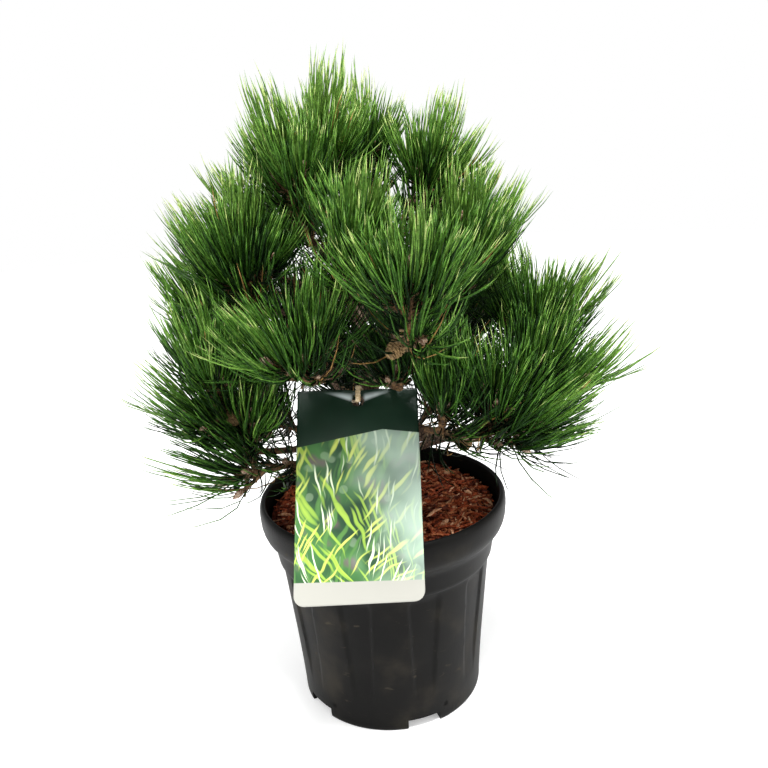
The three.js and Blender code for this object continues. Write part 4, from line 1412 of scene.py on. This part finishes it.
foot = (down - (0.898 + across * 0.010)).ramp(-SOFT, SOFT)


def fan(under, centre, density, size, dark, light):
    """A layer of long blades that spread from a centre, over what is under it."""
    swayed = card_print_and_glare.node("ShaderNodeVectorMath", {"operation": "MULTIPLY_ADD"}, {
        0: card_print_and_glare.node("ShaderNodeTexNoise", None, {"Vector": square, "Scale": 2.2}, out=1),
        1: (0.22, 0.22, 0.0), 2: square})
    away = [part - middle for part, middle in zip(card_print_and_glare.parts(swayed), centre)]
    turn = away[0].calculate("ARCTAN2", away[0], away[1])
    reach = (away[0] * away[0] + away[1] * away[1]) ** 0.5
    spot = card_print_and_glare.node("ShaderNodeCombineXYZ", None,
                           {0: turn * density[0], 1: reach * density[1]})
    near = card_print_and_glare.cells(spot, 1.0)
    shade = card_print_and_glare.mix(card_print_and_glare.cells(spot, 1.0, out=1), dark, light)
    vein = card_print_and_glare.mix(near.ramp(0.0, size) * 0.6, light, shade)
    return card_print_and_glare.mix(1.0 - near.ramp(size - 0.10, size + 0.06), under, vein)


sweep = card_print_and_glare.noise(square, 2.4, detail=2.0)
spots = card_print_and_glare.noise(square, 5.0, detail=1.0)
dew = card_print_and_glare.cells(square, 7.0, "SMOOTH_F1")
picture = card_print_and_glare.mix(sweep.ramp(0.36, 0.6), (0.010, 0.045, 0.018), (0.050, 0.160, 0.040))
picture = card_print_and_glare.mix(spots.ramp(0.56, 0.70) * 0.8, picture, (0.120, 0.080, 0.088))
picture = card_print_and_glare.mix((1.0 - dew.ramp(0.20, 0.27)) * 0.35, picture, (0.300, 0.420, 0.260))
for layer in BLADES:
    picture = fan(picture, *layer)
# Painted glare: a pale wash over one side of the picture, painted in for light reflected off the
# glossy card
painted_glare = (across * 0.8 - down * 0.25 + sweep * 0.9).ramp(0.6, 1.2) * 0.72
picture = card_print_and_glare.mix(painted_glare, picture, (0.500, 0.620, 0.540))
header = card_print_and_glare.mix(sweep.ramp(0.3, 0.7), (0.007, 0.022, 0.012), (0.012, 0.032, 0.019))
# Painted highlight: two pale glints on the head that run out from the hole, painted in for the
# light on the dented card
from_middle = ((across - 0.5) * (across - 0.5)) ** 0.5
upper = down * TALL - 0.005
spread = (0.105 - from_middle * 0.30).larger(0.004)
painted_glint = (upper / spread).ramp(0.15, 0.8) * (1.0 - (upper / spread).ramp(0.8, 1.25))
painted_glint = painted_glint * from_middle.ramp(0.035, 0.07) * (1.0 - from_middle.ramp(0.08, 0.30))
header = card_print_and_glare.mix(painted_glint, header, (0.60, 0.68, 0.67))
picture = card_print_and_glare.mix(head, picture, header)
card_print_and_glare.colour(card_print_and_glare.mix(foot, picture, (0.330, 0.326, 0.292)))
card = piece("label_card", card_mesh, [card_print_and_glare.material], ["label"])
thickness = card.modifiers.new("thickness", "SOLIDIFY")
thickness.thickness, thickness.offset = CARD["thick"] * MM, 0.0

# %% [markdown]
# ## Band
#
# A beige rubber band runs from behind the trunk through the hole, up over the card's edge and
# back. It is a flat strip, so a curve with a bevel would do, but the strip is also pinched and
# crinkled, which is easier to give it corner by corner.

# %% Build the band
BAND = {"width": 5.0, "thick": 1.1, "height": 298, "knot": 2.0, "bulge": 1.3}
BAND_SECTION = ((-0.5, -0.3), (-0.2, -0.5), (0.2, -0.5), (0.5, -0.3), (0.5, 0.3), (0.2, 0.5),
                (-0.2, 0.5), (-0.5, 0.3))
# Where the band passes the card: across from its middle, down from its edge, and out in front
AT_CARD = [(-5, 6, -12), (-0.6, 10.2, -3), (0, 10, -0.5), (0, 7.6, 1.6), (0, 1, 1.8),
           (0.4, -3.2, -0.6), (5, -1, -10)]


def through(points, each=14):
    """A smooth line through points, spaced by the roots of their distances."""
    points = np.array(points, float)
    points = np.vstack([2 * points[0] - points[1], points, 2 * points[-1] - points[-2]])
    line = []
    for k in range(1, len(points) - 2):
        p = points[k - 1:k + 3]
        knots = np.concatenate([[0], np.cumsum(np.linalg.norm(np.diff(p, axis=0), axis=1) ** 0.5)])
        t = np.linspace(knots[1], knots[2], each, endpoint=False)[:, None]

        def blend(a, b, low, high):
            return ((high - t) * a + (t - low) * b) / (high - low)

        a1, a2, a3 = (blend(p[j], p[j + 1], knots[j], knots[j + 1]) for j in range(3))
        b1 = blend(a1, a2, knots[0], knots[2])
        b2 = blend(a2, a3, knots[1], knots[3])
        line.append(blend(b1, b2, knots[1], knots[2]))
    return np.vstack([*line, points[-2]])


behind = trunk_at(BAND["height"])
band_line = through([behind + [1, 15.5, 1], behind + [-15.5, 2, 0],
                     *(card_point(*place) for place in AT_CARD),
                     behind + [15.5, 2, 2], behind + [-1, 15.5, 1]])
side, face = frames_along(band_line, CARD_AXES[0])
steps = np.arange(len(band_line))
pinch = 1 - 0.3 * np.abs(np.sin(steps * 0.35)) * np.abs(np.sin(steps * 0.13))
crinkle = 0.35 * np.sin(steps * 1.1) + 0.2 * np.sin(steps * 2.3)
rings = []
for across_share, thick_share in BAND_SECTION:
    wave = crinkle * math.cos(3 * across_share)
    rings.append(band_line + side * (BAND["width"] * across_share * pinch)[:, None] +
                 face * (BAND["thick"] * thick_share + wave)[:, None])
band_heap = Heap()
band_heap.add(np.stack(rings, axis=1), wrapped(len(band_line), len(BAND_SECTION)))
knot = through([behind + [-4.6, 16.3, 1], behind + [0, 16.9, 1], behind + [4.6, 16.3, 1]], 8)
bulge = BAND["knot"] + BAND["bulge"] * np.sin(np.linspace(0, math.pi, len(knot)))
band_heap.add(*tube(knot, bulge, 12))
band_rubber = grained("band_rubber", (0.50, 0.37, 0.20), (0.72, 0.60, 0.40), 260.0,
                      (0.35, 0.7), (0.52, 0.2), 0.0003, Specular_IOR_Level=0.35)
piece("label_band", band_heap, [band_rubber], ["label_tie"])

# %% [markdown]
# ## Floor and light
#
# The plant stands on plain white paper under broad, soft studio light. The floor is a large
# pale disc. One wide light from above and in front makes the tips bright and leaves the inside
# of the crown dark, and the pale surroundings fill in the rest.

# %% Floor, lights and surroundings
FLOOR_RADIUS, FLOOR_SIDES = 4000, 96
# Each light: where it hangs and its size, in metres, and its power in watts
LIGHTS = {"light_above": ((0.30, -0.60, 2.15), 0.6, 74.0),
          "light_left": ((-1.7, -1.2, 1.3), 1.0, 16.0),
          "light_right": ((1.8, -0.8, 1.0), 1.0, 10.0)}
PLANT_MIDDLE = Vector((0, 0, 0.3))
floor_heap = Heap()
rim = [FLOOR_RADIUS * heading(360 * k / FLOOR_SIDES, 0) for k in range(FLOOR_SIDES)]
floor_heap.add([*rim, [0, 0, 0]], fan_faces(np.arange(FLOOR_SIDES), FLOOR_SIDES))
floor = placed("floor", mesh_of(floor_heap, "floor"))
paper = Finish("paper", Roughness=0.9, Emission_Color=(1.0, 1.0, 1.0, 1.0),
               Emission_Strength=0.3)
soft = paper.noise(paper.place(), 3.0)
paper.colour(paper.mix(soft, (0.86, 0.86, 0.86), (0.88, 0.88, 0.88)))
floor.data.materials.append(paper.material)


def soft_light(name, at, size, power):
    """A square light that faces the middle of the plant."""
    data = bpy.data.lights.new(name, "AREA")
    data.shape, data.size, data.energy = "SQUARE", size, power
    made = placed(name, data)
    made.location = at
    made.rotation_mode = "QUATERNION"
    made.rotation_quaternion = (PLANT_MIDDLE - Vector(at)).to_track_quat("-Z", "Y")


for name, settings in LIGHTS.items():
    soft_light(name, *settings)
world = bpy.data.worlds.new("surroundings")
world.use_nodes = True
sky = world.node_tree.nodes["Background"].inputs
sky["Color"].default_value, sky["Strength"].default_value = (1.0, 1.0, 1.0, 1.0), 1.0
bpy.context.scene.world = world
bpy.context.scene.view_settings.view_transform = "Standard"
print("lights:", ", ".join(LIGHTS))
